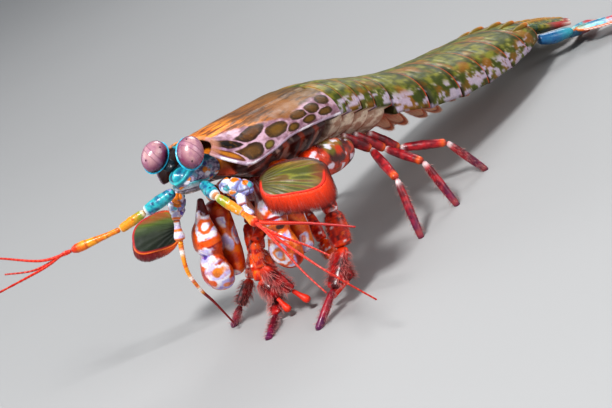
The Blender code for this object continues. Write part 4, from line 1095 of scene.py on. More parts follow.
def antennule(side):
    points = [np.array(p) for p in ANTENNULES[side]]
    segments = [(end, girth, girth) for end, girth in zip(points[1:], ANTENNULE_GIRTHS)]
    piece = Piece("feeler_stem_" + side)
    limb(piece, points[0], segments, Z, antennule_paint, count=44)
    piece.make(CUTICLE, ("antennule_" + side,), "feeler_orange")
    along = unit(points[3] - points[2])
    root = points[3] + along * 0.1
    piece = Piece("feeler_whips_" + side)

    def paint(p, s, gone):
        tone = mix("d8240e", "b00c0a", ramp(0.1, 0.8, s))
        return mix(tone, "f0602c", 0.6 * bell(np.sin(gone * 6.5), 1.0, 0.3))

    for number, route in enumerate(FLAGELLA[side]):
        spread = np.array((0.0, 0.0, 0.1 * (number - 1)))
        path = [root, root + along * 1.6 + spread, *map(np.array, route)]
        whip(piece, path, FLAGELLUM_GIRTHS, paint, 160, 10)
    piece.make(CUTICLE, ("antennule_flagella_" + side,), "feeler_red")


ANTENNAE = {
    "left": ((8.6, 0.6, 29.4), (9.6, -1.4, 26.8), (10.6, -1.8, 24.4),
             ((13.0, -2.5, 23.2), (18.0, -1.7, 21.8), (23.0, -0.6, 20.2), (30.0, 1.6, 17.0))),
    "right": ((-7.8, -0.2, 29.6), (-7.7, -2.2, 26.8), (-8.0, -3.6, 23.0),
              ((-8.2, -5.4, 17.6), (-8.3, -4.7, 12.8), (-8.7, -2.6, 8.2), (-9.2, -0.2, 1.8))),
}
ANTENNA_GIRTHS = (1.0, 0.85)
ANTENNA_WHIP_GIRTHS = (0.55, 0.18)
ANTENNA_BASES = {
    "left": (((5.6, 0.2, 31.6), 1.0), ((7.2, 0.2, 30.5), 1.7), ((9.2, 1.1, 29.3), 1.7),
             ((10.8, 2.3, 28.4), 1.0)),
    "right": (((-5.6, 0.2, 31.6), 1.0), ((-6.9, -0.1, 30.4), 1.7), ((-7.9, -0.3, 28.6), 1.7),
              ((-8.4, -0.6, 26.6), 1.0)),
}


def antenna(side):
    """The second feeler: pale mottled base plates, two banded segments and one whip."""
    first, second, third, route = ANTENNAE[side]
    piece = Piece("antenna_skin_" + side)

    rows = [(np.array(p), g, g) for p, g in ANTENNA_BASES[side]]
    points, _, _ = body(rows, 110, 72, (0, 1, 0), 0.8)
    fold = cells(points, 2.1, 153)
    fold = fold[1] - fold[0]
    points = points + grid_normals(points, True) * (
        0.22 * ramp(0.0, 0.3, fold) - 0.16 + 0.25 * (clouds(points, 0.8, 157) - 0.5))[..., None]
    tone = mix("8a90c8", "e4e6f2", mottle(points, 1.2, 151, 0.40, 0.60))
    tone = blotches(points, tone, (("f0840c", 0.0, 0.36, 0.62), ("6a5ab0", 0.36, 0.56, 0.5),
                                   ("a83210", 0.56, 0.66, 0.5), ("48a8b0", 0.66, 0.84, 0.5)),
                    1.5, 152)
    # Painted shade: the sunken creases between the folds are darkened to brown.
    piece.tube(points, mix(tone, "7a3a20", 0.7 * ramp(0.12, 0.0, fold)))

    def stem_paint(number, points, s):
        if side == "left":
            tone = mix("b8b4e0", "f2eef6", mottle(points, 0.7, 154, 0.4, 0.6))
            return mix(tone, "c8480c", 0.8 * ramp(0.85, 0.98, s))
        tone = mix("d0c4e8", "f4f0f8", mottle(points, 0.7, 155, 0.4, 0.6))
        return mix(tone, "ec7a10", ramp(0.25, 0.45, np.abs((s * 2.2 + number) % 1 - 0.5)))

    segments = [(end, girth, girth) for end, girth in zip((second, third), ANTENNA_GIRTHS)]
    limb(piece, first, segments, (0, 0.3, 1), stem_paint, count=30)

    def whip_paint(points, s, gone):
        if side == "left":
            return mix("d8340c", "b0100a", ramp(0.1, 0.7, s))
        tone = mix("f09a18", "e0600c", mottle(points, 0.8, 156))
        tone = mix(tone, "f8f0ea", bell(gone, 2.2, 0.55) + bell(gone, 7.6, 0.5))
        tone = mix(tone, "f4ece8", bell(gone, 10.6, 0.55))
        return mix(tone, "8c0c14", ramp(11.4, 12.4, gone))

    whip(piece, [np.array(third), *map(np.array, route)], ANTENNA_WHIP_GIRTHS, whip_paint, 170, 14)
    piece.make(CUTICLE, ("antenna_" + side,), "feeler_orange")


# Antennal scales

SCALES = {
    # root, then the directions of the long axis, the near edge and the hanging fringe
    "left": ((11.9, 3.2, 28.8), (0.9, 0.42, -0.16), (0.33, -0.76, -0.55), (0.1, -0.15, -1.0)),
    "right": ((-9.0, -0.9, 25.0), (-0.95, -0.16, 0.03), (-0.1, -0.65, -0.75), (-0.5, 0.5, -0.7)),
}
SCALE_LENGTH = 12.6
SCALE_WIDTH = 7.6
SCALE_FRINGE = 3.2
SCALE_BEND = (0.035, 0.006)
SCALE_BRISTLES = 1500
SCALE_BRISTLE_GIRTH = 0.11


def oval(length, width, count, blunt=2.4):
    angle = 2 * math.pi * (np.arange(count) + 0.5) / count
    a = power(np.cos(angle), 2 / blunt) * length / 2 + length / 2
    return np.stack([a, power(np.sin(angle), 2 / blunt) * width / 2], -1)


def scale_outline(count):
    """The scale's oval, with a straighter near edge that ends in a blunt corner."""
    outline = oval(SCALE_LENGTH, SCALE_WIDTH, 400)
    near = oval(SCALE_LENGTH, SCALE_WIDTH, 400, 3.6)
    outline = np.where(outline[:, 1:] > 0, near, outline)
    return smooth_outline(outline, count, 2)


def antennal_scale(side):
    root, along, edge, droop = (np.array(v, float) for v in SCALES[side])
    along, droop = unit(along), unit(droop)
    edge = unit(edge - along * (edge @ along))
    normal = np.cross(along, edge) * (-1 if side == "left" else 1)
    outline = scale_outline(420)
    place = bent_plate(root, along, edge, normal, *SCALE_BEND)

    def top(a, b, s):
        rib = 0.035 * np.cos(np.arctan2(b, a + 2.0) * 46) * ramp(0.15, 0.4, s) * ramp(0.98, 0.85, s)
        return 0.45 * (1 - s**2) + 0.22 + rib - 0.05 * s**8

    def paint(points, a, b, s):
        fan = np.arctan2(b, a + 2.0)
        streak = noise(np.stack([fan * 9, a * 0.12, 0 * a], -1), 0.5, 161)
        if side == "left":
            tone = mix("4a4c0a", "80801a", ramp(0.3, 0.7, streak))
            tone = mix(tone, "5a2408", 0.75 * ramp(0.58, 0.74, streak))
            tone = mix(tone, "7a1c08", 0.7 * ramp(0.70, 1.0, a / SCALE_LENGTH))
            tone = mix(tone, "8a5a14", 0.6 * ramp(-1.2, -3.2, b))
            tone = mix(tone, "4a3a0c", 0.7 * ramp(0.45, 0.2, a / SCALE_LENGTH + 0.2 * streak))
            tone = mix(tone, "e02408", ramp(0.91, 0.96, s) * ramp(-0.6, 0.8, b))
            return mix(tone, "3a1a0c", ramp(0.85, 0.96, s) * ramp(-0.4, -1.6, b))
        deep = ramp(-3.6, 1.2, b + 0.6 * (streak - 0.5))
        tone = mix("8a4a14", "46560c", ramp(0.0, 0.35, deep))
        tone = mix(tone, "26380a", ramp(0.35, 0.65, deep))
        tone = mix(tone, "14200a", ramp(0.65, 1.0, deep))
        tone = mix(tone, "6a7a1e", 0.5 * ramp(0.6, 0.8, streak) * (1 - deep))
        red = ramp(0.86, 0.93, s) * ramp(3.0, 7.0, a + 0.6 * b)
        tone = mix(tone, "b0121c", red)
        return mix(tone, "e8701c", ramp(0.93, 0.97, s) * ramp(1.0, 2.4, b))

    piece = Piece("scale_leaf_" + side)
    leaf(piece, place, outline, (SCALE_LENGTH * 0.5, 0.0), top, lambda a, b, s: -0.28 + 0 * a,
         paint, 56)
    piece.make(LEAF, ("antennal_scale_" + side,), "shell_olive")
    scale_fringe(side, place, droop)


def scale_fringe(side, place, droop):
    """The scale's border of close bristles, longest at its hanging edge."""
    count = SCALE_BRISTLES
    outline = scale_outline(count)
    a, b = outline.T
    grown = np.clip(a / SCALE_LENGTH * 1.6 - 0.12, 0, 1)
    hanging = ramp(-1.0, 1.5, b)
    if side == "left":
        length = 0.5 + 0.8 * grown + (SCALE_FRINGE - 0.2) * hanging * ramp(-0.4, 2.0, a)
    else:
        length = 0.25 + (1.2 * grown + 1.2 * hanging * grown)
    length = length * (0.96 + 0.06 * RANDOM.random(count))
    inner = 0.975
    centre = np.array((SCALE_LENGTH * 0.5, 0.0))
    a0, b0 = centre[:, None] + (outline.T - centre[:, None]) * inner
    outward = unit(place(a, b, 0 * a) - place(a0, b0, 0 * a))
    roots = place(a0, b0, 0.06 - 0.12 * RANDOM.random(count))
    jitter = 0.02 * (RANDOM.random((count, 3)) - 0.5)
    pull = 0.85 if side == "left" else 0.6
    turn = np.clip(0.5 + outward @ droop, 0, 1)[:, None] * pull
    ways = unit(outward * (1 - turn) + droop * turn + jitter)
    if side == "left":
        mid = noise(roots, 1.6, 171)[:, None]
        far = 1 - hanging[:, None]
        tone_root = colour("ff4a10") * (0.75 + 0.45 * mid) * (1 - 0.75 * far)
        tone_tip = colour("6a040a") * (0.7 + 0.6 * mid) * (1 - 0.6 * far)
    else:
        red = ramp(2.0, 8.0, a)
        tone_root, tone_tip = mix("e86a18", "b4141c", red), mix("d84a14", "7a0a18", red)
    tangent = unit(np.roll(roots, -1, 0) - np.roll(roots, 1, 0))
    places = map_places(a, b, SCALE_LENGTH, SCALE_WIDTH)
    piece = Piece("fringe_scale_" + side)
    piece.hairs(roots, ways, length, SCALE_BRISTLE_GIRTH, tone_root, tone_tip, droop, 0.25,
                tangent, places, 7)
    piece.make(BRISTLE, (), "feeler_red")


# Claws

CLAW_SHIFT = {"left": np.array((2.4, 2.8, 1.0)), "right": np.zeros(3)}
MERUS = (((9.2, 28.0, 20.8), 1.5, 1.6), ((9.4, 25.5, 20.8), 2.3, 2.8),
         ((9.6, 21.5, 21.6), 2.8, 3.4), ((9.5, 17.5, 22.6), 2.8, 3.3),
         ((9.2, 14.0, 23.8), 2.3, 2.6), ((8.9, 12.4, 24.4), 1.6, 1.8))
CARPUS = (((8.5, 11.6, 24.7), 1.4, 1.4), ((7.7, 10.3, 25.5), 1.9, 1.8),
          ((6.7, 9.1, 26.5), 1.7, 1.5), ((5.8, 8.0, 27.3), 1.1, 1.0))
PROPODUS = (((5.4, 6.9, 25.4), 1.4, 1.0), ((5.7, 6.9, 24.4), 2.4, 1.7),
            ((6.2, 6.7, 22.0), 2.9, 2.2), ((6.8, 6.3, 18.0), 3.0, 2.3),
            ((7.1, 5.9, 14.2), 2.8, 2.1), ((7.3, 5.3, 11.2), 2.4, 1.8),
            ((7.35, 4.9, 9.7), 1.6, 1.2))
DACTYL = (((7.3, 1.1, 9.2), 1.6, 1.1), ((7.3, 0.8, 10.5), 2.8, 1.9),
          ((7.3, 0.5, 12.8), 3.6, 2.5), ((7.25, 0.8, 15.3), 3.0, 2.3),
          ((7.1, 1.4, 16.9), 2.5, 1.9), ((6.9, 1.5, 19.0), 3.3, 2.3),
          ((6.6, 1.9, 21.4), 3.1, 2.0), ((6.1, 2.5, 23.6), 1.9, 1.4),
          ((5.5, 3.0, 25.8), 1.2, 0.9), ((4.9, 3.4, 28.0), 0.6, 0.5))


def claw_rows(side, stations):
    flip = np.array((SIDES[side], 1, 1))
    return [(np.array(p) * flip + CLAW_SHIFT[side], a, b) for p, a, b in stations]


def claw_pattern(points, seed):
    """White and lavender patches outlined in orange and red, on an orange ground."""
    warp = points + 0.9 * np.stack([noise(points, 1.5, seed + k) - 0.5 for k in range(3)], -1)
    first, _, pick = cells(warp * np.array((1, 1, 0.8)), 3.0, seed + 5)
    ground = mix("d8480c", "f07c12", mottle(points, 1.4, seed + 6))
    ground = mix(ground, "a81408", 0.8 * mottle(points, 2.2, seed + 7, 0.55, 0.72))
    white = mix("c8c0f0", "fbf6fa", mottle(points, 0.9, seed + 8, 0.35, 0.6))
    patch = ramp(0.56, 0.44, first) * (pick > 0.45)
    tone = mix(ground, white, patch)
    ring = bell(first, 0.28, 0.06) * (pick > 0.65)
    tone = mix(tone, "e8641c", 0.9 * ring)
    return mix(tone, "c87a6a", 0.8 * ramp(0.16, 0.08, first) * (pick > 0.65))


def claw_marks(points, tone, marks):
    """Paints oval marks: place, half sizes across the depth, height and width, colour."""
    for centre, half, over, soft in marks:
        gap = (points - np.array(centre)) / np.array(half)
        reach = np.linalg.norm(gap, axis=-1) + 0.5 * (noise(points, 1.0, 191) - 0.5)
        reach = reach + 0.25 * (noise(points, 0.4, 192) - 0.5)
        tone = mix(tone, over, ramp(1 + soft, 1 - soft, reach))
    return tone


WHITE, LILAC, FLAME, BLOOD = "f8f2f8", "c2baf0", "ec6410", "a01408"
CLAW_MARKS = {
    "right": (
        ((-5.3, 1.2, 22.8), (3.0, 3.6, 2.7), WHITE, 0.12),
        ((-5.0, 1.2, 23.0), (1.5, 2.4, 1.5), FLAME, 0.15),
        ((-5.0, 1.2, 23.0), (0.7, 2.4, 0.7), WHITE, 0.2),
        ((-8.6, 1.0, 20.6), (1.6, 3.0, 5.0), FLAME, 0.15),
        ((-5.4, 0.5, 19.9), (3.8, 3.4, 0.8), FLAME, 0.2),
        ((-5.4, 0.5, 18.9), (3.8, 3.4, 0.35), BLOOD, 0.3),
        ((-6.6, -0.4, 17.2), (2.9, 2.8, 1.9), WHITE, 0.12),
        ((-7.5, -0.6, 17.3), (1.3, 2.0, 1.0), LILAC, 0.25),
        ((-7.3, -0.6, 17.4), (0.6, 1.6, 0.5), "5a3a9a", 0.25),
        ((-4.2, 1.6, 17.0), (1.5, 2.4, 1.8), "d8500c", 0.2),
        ((-9.8, 0.2, 13.6), (1.9, 3.0, 2.6), "e02c0c", 0.2),
        ((-5.6, -1.2, 13.6), (2.8, 2.4, 2.0), WHITE, 0.12),
        ((-5.3, -1.4, 14.0), (1.3, 2.0, 0.9), "f08a2c", 0.2),
        ((-7.4, -1.4, 12.0), (1.0, 2.0, 0.9), FLAME, 0.2),
        ((-5.2, 0.2, 10.8), (1.9, 2.4, 1.3), LILAC, 0.15),
        ((-5.2, -0.2, 10.8), (0.9, 2.0, 0.6), "f4905a", 0.25),
    ),
    "left": (
        ((9.6, 0.8, 14.6), (3.2, 3.0, 2.9), "f06a10", 0.10),
        ((9.6, 0.6, 14.6), (2.6, 2.8, 2.3), WHITE, 0.12),
        ((9.9, 0.6, 14.4), (1.6, 2.4, 1.3), "e0781c", 0.15),
        ((9.9, 0.6, 14.4), (0.9, 2.4, 0.8), "b8b0b8", 0.25),
        ((8.2, 2.2, 18.6), (2.0, 2.6, 1.2), WHITE, 0.15),
        ((11.6, 2.9, 19.2), (1.6, 2.4, 1.4), "f0780c", 0.15),
        ((11.6, 2.7, 19.2), (0.7, 2.4, 0.6), "4a1408", 0.2),
        ((10.5, 3.6, 21.2), (4.0, 4.0, 0.4), BLOOD, 0.3),
        ((12.2, 4.6, 22.3), (1.3, 2.4, 1.2), WHITE, 0.15),
        ((9.4, 4.0, 23.6), (1.2, 2.4, 1.4), WHITE, 0.15),
    ),
}


def raptorial_claw(side):
    for name, stations, count, sides, seed in (
            ("merus", MERUS, 130, 80, None), ("carpus", CARPUS, 70, 56, 201),
            ("propodus", PROPODUS, 150, 90, 211), ("dactyl", DACTYL, 210, 110, 221)):
        points, s, angle = body(claw_rows(side, stations), count, sides, X, 0.8)
        lumps = clouds(points, 2.4, 181) - 0.5
        points = points + grid_normals(points, True) * (0.18 * lumps)[..., None]
        if seed is None:
            tone = mix("4a0a08", "c8380c", mottle(points, 2.2, 182, 0.4, 0.62))
            tone = mix(tone, "7a7a1e", 0.6 * mottle(points, 3.2, 183, 0.5, 0.7))
            tone = mix(tone, "eae4f0", 0.8 * mottle(points, 1.7, 184, 0.60, 0.68))
        else:
            tone = claw_pattern(points, seed)
        if name == "propodus":
            # Painted shade: the propodus's inner side is darkened to maroon.
            tone = mix(tone, "7a0c0a", 0.8 * ramp(0.3, -0.6, np.cos(angle + 0.6)) + 0 * lumps)
        elif name == "dactyl":
            # Painted shade: the dactyl's upper end, tucked against the propodus, is darkened to deep
            # red.
            tone = mix(tone, "6c100c", ramp(0.66, 0.78, s)[:, None] + 0 * lumps)
            tone = claw_marks(points, tone, CLAW_MARKS[side])
            tone = mix(tone, tone * np.array((1.0, 0.55, 0.45)),
                       0.75 * mottle(points, 0.8, 193, 0.56, 0.70))
            tone = mix(tone, tone * np.array((0.55, 0.50, 0.92)),
                       0.7 * mottle(points, 1.3, 194, 0.54, 0.66))
        skin(f"claw_{name}_skin_{side}", points, tone, CLAW, f"claw_{name}_{side}", "claw_mottled")


# Mouth and limbs of the thorax

MAXILLIPEDS = {
    # name: start, then (end, half wide, half thin) for each segment, and whether it stands
    "maxilliped_3_left": ((2.9, 18.0, 23.0), (
        ((3.1, 9.4, 18.4), 1.0, 1.0), ((2.6, 4.0, 16.6), 1.3, 1.2),
        ((2.2, 2.6, 11.6), 1.3, 1.2), ((5.6, 3.8, 5.0), 1.8, 1.0),
        ((8.2, 4.2, 2.0), 0.6, 0.6)), False),
    "maxilliped_3_right": ((-2.9, 18.0, 23.0), (
        ((-2.9, 9.6, 18.2), 1.0, 1.0), ((-2.0, 6.4, 13.0), 1.2, 1.1),
        ((-1.2, 3.8, 8.2), 1.3, 1.1), ((1.8, 3.0, 4.2), 1.4, 0.9),
        ((4.0, 2.2, 1.5), 0.6, 0.6)), False),
    "maxilliped_4_left": ((3.7, 21.2, 23.3), (
        ((6.6, 16.2, 15.6), 1.0, 1.0), ((9.6, 13.6, 9.8), 1.4, 1.2),
        ((12.6, 11.2, 6.8), 1.5, 1.3), ((16.2, 8.0, 3.2), 1.8, 1.1),
        ((14.0, 3.2, 2.5), 0.65, 0.65)), False),
    "maxilliped_4_right": ((-3.7, 21.2, 22.7), (
        ((-5.0, 14.6, 17.6), 1.0, 1.0), ((-3.8, 10.6, 11.6), 1.2, 1.1),
        ((-1.6, 8.2, 4.8), 1.2, 1.1), ((1.4, 1.0, 1.8), 1.3, 0.7),
        ((3.0, -5.4, 0.0), 0.8, 0.8)), True),
    "maxilliped_5_left": ((4.2, 24.8, 23.2), (
        ((10.6, 18.6, 17.8), 1.2, 1.2), ((16.2, 12.6, 16.0), 1.7, 1.6),
        ((17.4, 9.8, 9.6), 2.3, 2.1), ((16.4, 3.0, 4.4), 1.8, 1.1),
        ((14.9, -4.0, 0.0), 0.8, 0.8)), True),
    "maxilliped_5_right": ((-4.2, 24.8, 23.1), (
        ((-6.6, 17.4, 15.4), 1.1, 1.1), ((-7.6, 12.4, 11.0), 1.4, 1.2),
        ((-8.4, 8.6, 6.6), 1.4, 1.2), ((-10.4, 4.6, 3.0), 1.5, 0.9),
        ((-12.0, 1.8, 0.0), 0.8, 0.8)), True),
}
CLEANERS = (((1.0, 13.6, 20.2), 0.6), ((1.0, 10.8, 18.4), 0.55), ((1.0, 9.2, 20.4), 0.5),
            ((0.9, 8.6, 24.0), 0.45), ((0.9, 7.6, 26.2), 0.6), ((0.9, 6.9, 27.4), 0.35))


def hairy(piece, begin, end, girth, count, reach, tone, tip, seed, lean):
    """Bristles down both edges of a segment, leaning towards its end."""
    random = np.random.default_rng(seed)
    begin, end = np.asarray(begin, float), np.asarray(end, float)
    along = unit(end - begin)
    side = unit(np.cross(along, Z + 0.01 * X))
    third = np.cross(along, side)
    t = 0.06 + 0.86 * random.random(count)
    turn = np.where(random.random(count) > 0.5, 0.0, math.pi) + random.normal(0, 0.5, count)
    out = side * np.cos(turn)[:, None] + third * np.sin(turn)[:, None]
    swell = np.interp(t, (0, 0.16, 0.5, 0.84, 1), (0.6, 0.86, 1.0, 0.86, 0.6)) * girth
    roots = begin + (end - begin) * t[:, None] + out * (swell * 0.92)[:, None]
    ways = unit(out + along * lean + 0.25 * random.normal(0, 1, (count, 3)))
    lengths = reach * (0.6 + 0.5 * random.random(count))
    lowest = roots[:, 2] + np.minimum(ways[:, 2], 0) * lengths
    lengths = np.where(lowest < 0.15, np.maximum(roots[:, 2] - 0.2, 0.1)
                       / np.maximum(-ways[:, 2], 0.2), lengths)
    lengths = np.clip(lengths, 0.1, reach)
    places = np.stack([0.02 + 0.96 * t, 0.05 + 0.9 * (turn % (2 * math.pi)) / (2 * math.pi)], -1)
    shade = (0.7 + 0.6 * random.random(count))[:, None]
    piece.hairs(roots, ways, lengths, BRISTLE_GIRTH, colour(tone) * shade, colour(tip) * shade,
                along, 0.5, None, places)


def thorax_limbs():
    def painter(name, last):
        front = not name.endswith("5_left")

        def paint(number, points, s):
            blur = clouds(points, 1.0, 231)
            red = mix("a80c0a", "f04008", ramp(0.32, 0.58, blur))
            if number == last:
                tone = mix("e01a08", "f03c12", blur)
                if name.endswith(("4_right", "5_right", "5_left")):
                    tone = mix("5c0820", "a01028", ramp(0.3, 0.6, blur))
                    tone = mix(tone, "5a1c58", 0.7 * ramp(0.5, 0.9, s))
                return tone
            if number == last - 1:
                tone = mix("4a060e", "b01414", ramp(0.4, 0.62, blur))
                return mix(tone, "e8400c", 0.8 * bell(s, 0.08, 0.12))
            if number == last - 2 and front:
                tone = mix(red, "ec5a10", ramp(0.45, 0.6, blur))
                return blotches(points, tone, (("f6eef2", 0.0, 0.38, 0.36),
                                               ("e8880e", 0.38, 0.6, 0.3)), 1.1, 232)
            tone = mix(red, "5a0a10", ramp(0.5, 0.7, blur))
            return blotches(points, tone, (("ee6414", 0.0, 0.34, 0.36),
                                           ("f6ecf0", 0.34, 0.56, 0.34)), 1.2, 233)
        return paint

    for name, (start, segments, stands) in MAXILLIPEDS.items():
        piece = Piece("limb_" + name)
        limb(piece, start, segments, X, painter(name, len(segments) - 1), foot=stands)
        piece.make(CUTICLE, (name,), "leg_red")
        piece = Piece("bristles_" + name)
        hairy(piece, segments[-3][0], segments[-2][0], segments[-2][1], 300, 1.6,
              "c01418", "f4b0a8", 240 + len(name), 0.8)
        hairy(piece, segments[-4][0], segments[-3][0], segments[-3][1], 160, 0.9,
              "a81810", "ecb0a0", 260 + len(name), 0.5)
        if stands:
            hairy(piece, segments[-2][0], segments[-1][0], 0.7, 200, 1.3,
                  "7a1420", "e0a8a8", 280 + len(name), 0.4)
        piece.make(BRISTLE, (), "leg_red")
    for side, sign in SIDES.items():
        rows = [(np.array(p) * np.array((sign, 1, 1)), g, g) for p, g in CLEANERS]
        points, _, _ = body(rows, 90, 18, X)
        paint = mix("c03a14", "f0b098", mottle(points, 0.8, 236, 0.4, 0.6))
        skin("cleaner_" + side, points, paint, CUTICLE, "maxilliped_1_" + side, "leg_red")


MOUTH = ((10.2, 24.6, 1.6, 0.9), (11.2, 23.8, 2.6, 1.5), (12.8, 23.2, 2.9, 1.8),
         (14.4, 22.7, 2.4, 1.5), (15.4, 22.6, 1.4, 0.9))


def mouthparts():
    rows = [(np.array((0, y, z)), wide, high) for y, z, wide, high in MOUTH]
    points, _, _ = body(rows, 60, 60, X, 0.8)
    seam = bell(points[..., 0], 0.0, 0.12) + bell(np.abs(points[..., 0]), 1.5, 0.12)
    points = points - grid_normals(points, True) * (0.2 * seam)[..., None]
    tone = mix("a87888", "e8d8dc", mottle(points, 0.9, 301, 0.4, 0.6))
    tone = mix(tone, "8a2a10", 0.8 * np.clip(seam, 0, 1))
    skin("mouth_skin", points, tone, CUTICLE, "mouthparts", "claw_mottled")


HIP = 7.4
WALKING_LEGS = (
    ((9.6, 38.6, 16.6), (17.4, 32.6, 11.6), (20.4, 28.0, 0.0)),
    ((9.8, 42.4, 14.6), (18.6, 41.0, 10.6), (22.4, 40.2, 0.0)),
    ((9.8, 46.6, 12.4), (18.0, 51.4, 9.4), (21.4, 55.2, 0.0)),
)
LEG_GIRTHS = ((1.15, 1.15), (1.05, 1.0), (0.95, 0.85))


def leg_paint(number, points, s):
    blur = clouds(points, 1.1, 311)
    tone = mix("6a0a1c", "b0202a", ramp(0.35, 0.65, blur))
    tone = mix(tone, "e8641c", 0.8 * bell(s, 0.92, 0.06))
    tone = mix(tone, "f0e0e0", 0.75 * bell(s, 0.06, 0.05))
    return mix(tone, "4a1a50", (number == 2) * 0.6 * ramp(0.3, 0.9, s))


def walking_legs():
    rings = trunk_stations()[1:4]
    for number, joints in enumerate(WALKING_LEGS):
        station, length = rings[number]
        belly = THORAX_WIDTHS[number + 1] - BELLY_INSET
        depth = THORAX_HEIGHT + THORAX_BELLY * math.sqrt(1 - (HIP / belly) ** 2)
        for side, sign in SIDES.items():
            hip = station.at(sign * HIP, length * 0.6, -depth - GAP - 0.55)
            segments = [(np.array((x * sign, y, z)), a, b)
                        for (x, y, z), (a, b) in zip(joints, LEG_GIRTHS)]
            name = f"walking_leg_{number + 1}_{side}"
            piece = Piece("limb_" + name)
            limb(piece, hip, segments, (0, 1, 0), leg_paint, foot=True)
            piece.make(CUTICLE, (name,), "leg_maroon")
            piece = Piece("bristles_" + name)
            hairy(piece, segments[1][0], segments[2][0], 0.75, 130, 1.2, "7a1420", "d8a8a0",
                  320 + number, 0.6)
            piece.make(BRISTLE, (), "leg_maroon")


# Swimming legs

PLEOPOD_DROPS = (7.2, 7.0, 6.4, 5.6, 4.8)
PLEOPOD_LEANS = (52.0, 56.0, 60.0, 64.0, 68.0)
PLEOPOD_GILLS = 4
PLEOPOD_PLACE = 0.35            # share of the ring's length where the legs are joined
PADDLES = ((0.30, -0.06), (0.52, 0.14))    # place across, in half widths, and outward turn
PADDLE_HALF = 0.13


def swimming_legs():
    stations = trunk_stations()[len(THORAX_LENGTHS):]
    for number, (drop, lean) in enumerate(zip(PLEOPOD_DROPS, PLEOPOD_LEANS)):
        station, length = stations[number]
        joined = length * PLEOPOD_PLACE
        width = ABDOMEN_WIDTHS[number]
        front, rear = ABDOMEN_HEIGHTS[number:number + 2]
        height = front * (1 - PLEOPOD_PLACE) + rear * PLEOPOD_PLACE
        sternum = -(1 - STERNUM) * height - 0.2 - GAP
        lean = math.radians(lean)
        piece = Piece(f"paddles_{number + 1}")
        fringe = Piece(f"fringe_paddles_{number + 1}")
        bar = [(station.at(x, joined, sternum - 0.75), 0.7, 0.7)
               for x in (-0.66 * width, 0.0, 0.66 * width)]
        points, _, _ = body(bar, 60, 18, (0, 1, 0))
        piece.tube(points, mix("b83418", "e8a088", mottle(points, 1.2, 331, 0.4, 0.6)))
        for sign in (1, -1):
            for lobe, (inner, turn) in enumerate(PADDLES):
                root = station.at(sign * inner * width, joined, sternum - 0.8)
                along = unit(station.back * math.sin(lean) - station.up * math.cos(lean)
                             + sign * turn * X)
                across = unit(X - along * along[0])
                tip = root + along * (drop - lobe * 0.8)
                half = PADDLE_HALF * width
                rows = [(root, 0.5 * half, 0.4), (root + (tip - root) * 0.4, half, 0.36),
                        (root + (tip - root) * 0.75, 0.85 * half, 0.3), (tip, 0.35 * half, 0.2)]
                points, s, angle = body(rows, 46, 34, across, 1.0)
                veins = np.cos(angle * 12)[None, :] * ramp(0.1, 0.4, s)[:, None]
                tone = mix("d8501c", "f4b894", ramp(0.2, 0.8, s)[:, None] + 0.15 * veins)
                tone = mix(tone, "8c1018", ramp(0.86, 1.0, s)[:, None] + 0 * veins)
                piece.tube(points, tone)
                paddle_fringe(fringe, root, tip, across, half, number * 10 + lobe + sign)
            for gill in range(PLEOPOD_GILLS):
                start = station.at(sign * (0.28 + 0.28 * gill / (PLEOPOD_GILLS - 1)) * width,
                                   joined, sternum - 0.8)
                gill_tuft(piece, start, station, sign, gill + 10 * number)
        piece.make(CUTICLE, (f"pleopods_{number + 1}",), "leg_red")
        fringe.make(BRISTLE, (), "leg_red")


def paddle_fringe(fringe, root, tip, across, half, seed):
    random = np.random.default_rng(350 + seed)
    count = 220
    turn = np.linspace(0.12 * math.pi, 1.88 * math.pi, count)
    along = tip - root
    u = (1 - np.cos(turn)) / 2
    v = np.sin(turn) * half * 0.9
    roots = root + along * (0.05 + 0.93 * u)[:, None] + across * v[:, None]
    ways = unit(across * v[:, None] / half + unit(along) * (u * 1.2)[:, None])
    lengths = (0.5 + 1.0 * u) * (0.85 + 0.3 * random.random(count))
    places = np.stack([0.02 + 0.96 * u, 0.5 + 0.45 * v / half], -1)
    fringe.hairs(roots, ways, lengths, BRISTLE_GIRTH, colour("e0581c"), colour("f8c4a0"),
                 unit(along), 0.3, None, places)


def gill_tuft(piece, start, station, sign, seed):
    """A branched gill: a stem with soft filaments on both sides."""
    random = np.random.default_rng(380 + seed)
    end = start + station.back * 3.0 + sign * 0.4 * X - station.up * 0.2
    points, _, _ = body([(start, 0.2, 0.2), ((start + end) / 2, 0.18, 0.18), (end, 0.1, 0.1)],
                        16, 8, X)
    piece.tube(points, np.broadcast_to(colour("f0c8b8"), points.shape))
    count = 60
    t = random.random(count)
    roots = start + (end - start) * t[:, None]
    turn = random.random(count) * 2 * math.pi
    ways = unit(np.cos(turn)[:, None] * X + np.sin(turn)[:, None] * station.up
                + 0.6 * station.back)
    ways[:, 2] = np.where(ways[:, 2] > 0, -0.3 * ways[:, 2], ways[:, 2])
    piece.hairs(roots, ways, 0.5 + 0.3 * random.random(count), 0.06, colour("d88a70"),
                colour("fae0d4"), station.back, 0.5)


# Tail fan

TELSON_HALF = ((7.8, 0.0), (9.2, 3.4), (10.6, 8.0), (10.9, 13.0), (10.7, 17.4), (8.9, 16.9),
               (8.4, 19.6), (7.9, 21.8), (6.2, 20.0), (4.6, 21.8), (3.4, 24.0), (1.9, 21.4))
KEELS = (0.0, 3.4, 6.6)


def keel_ridges(a, b, half):
    return sum(bell(np.abs(b), keel + 0.02 * (12 - a), half) for keel in KEELS)


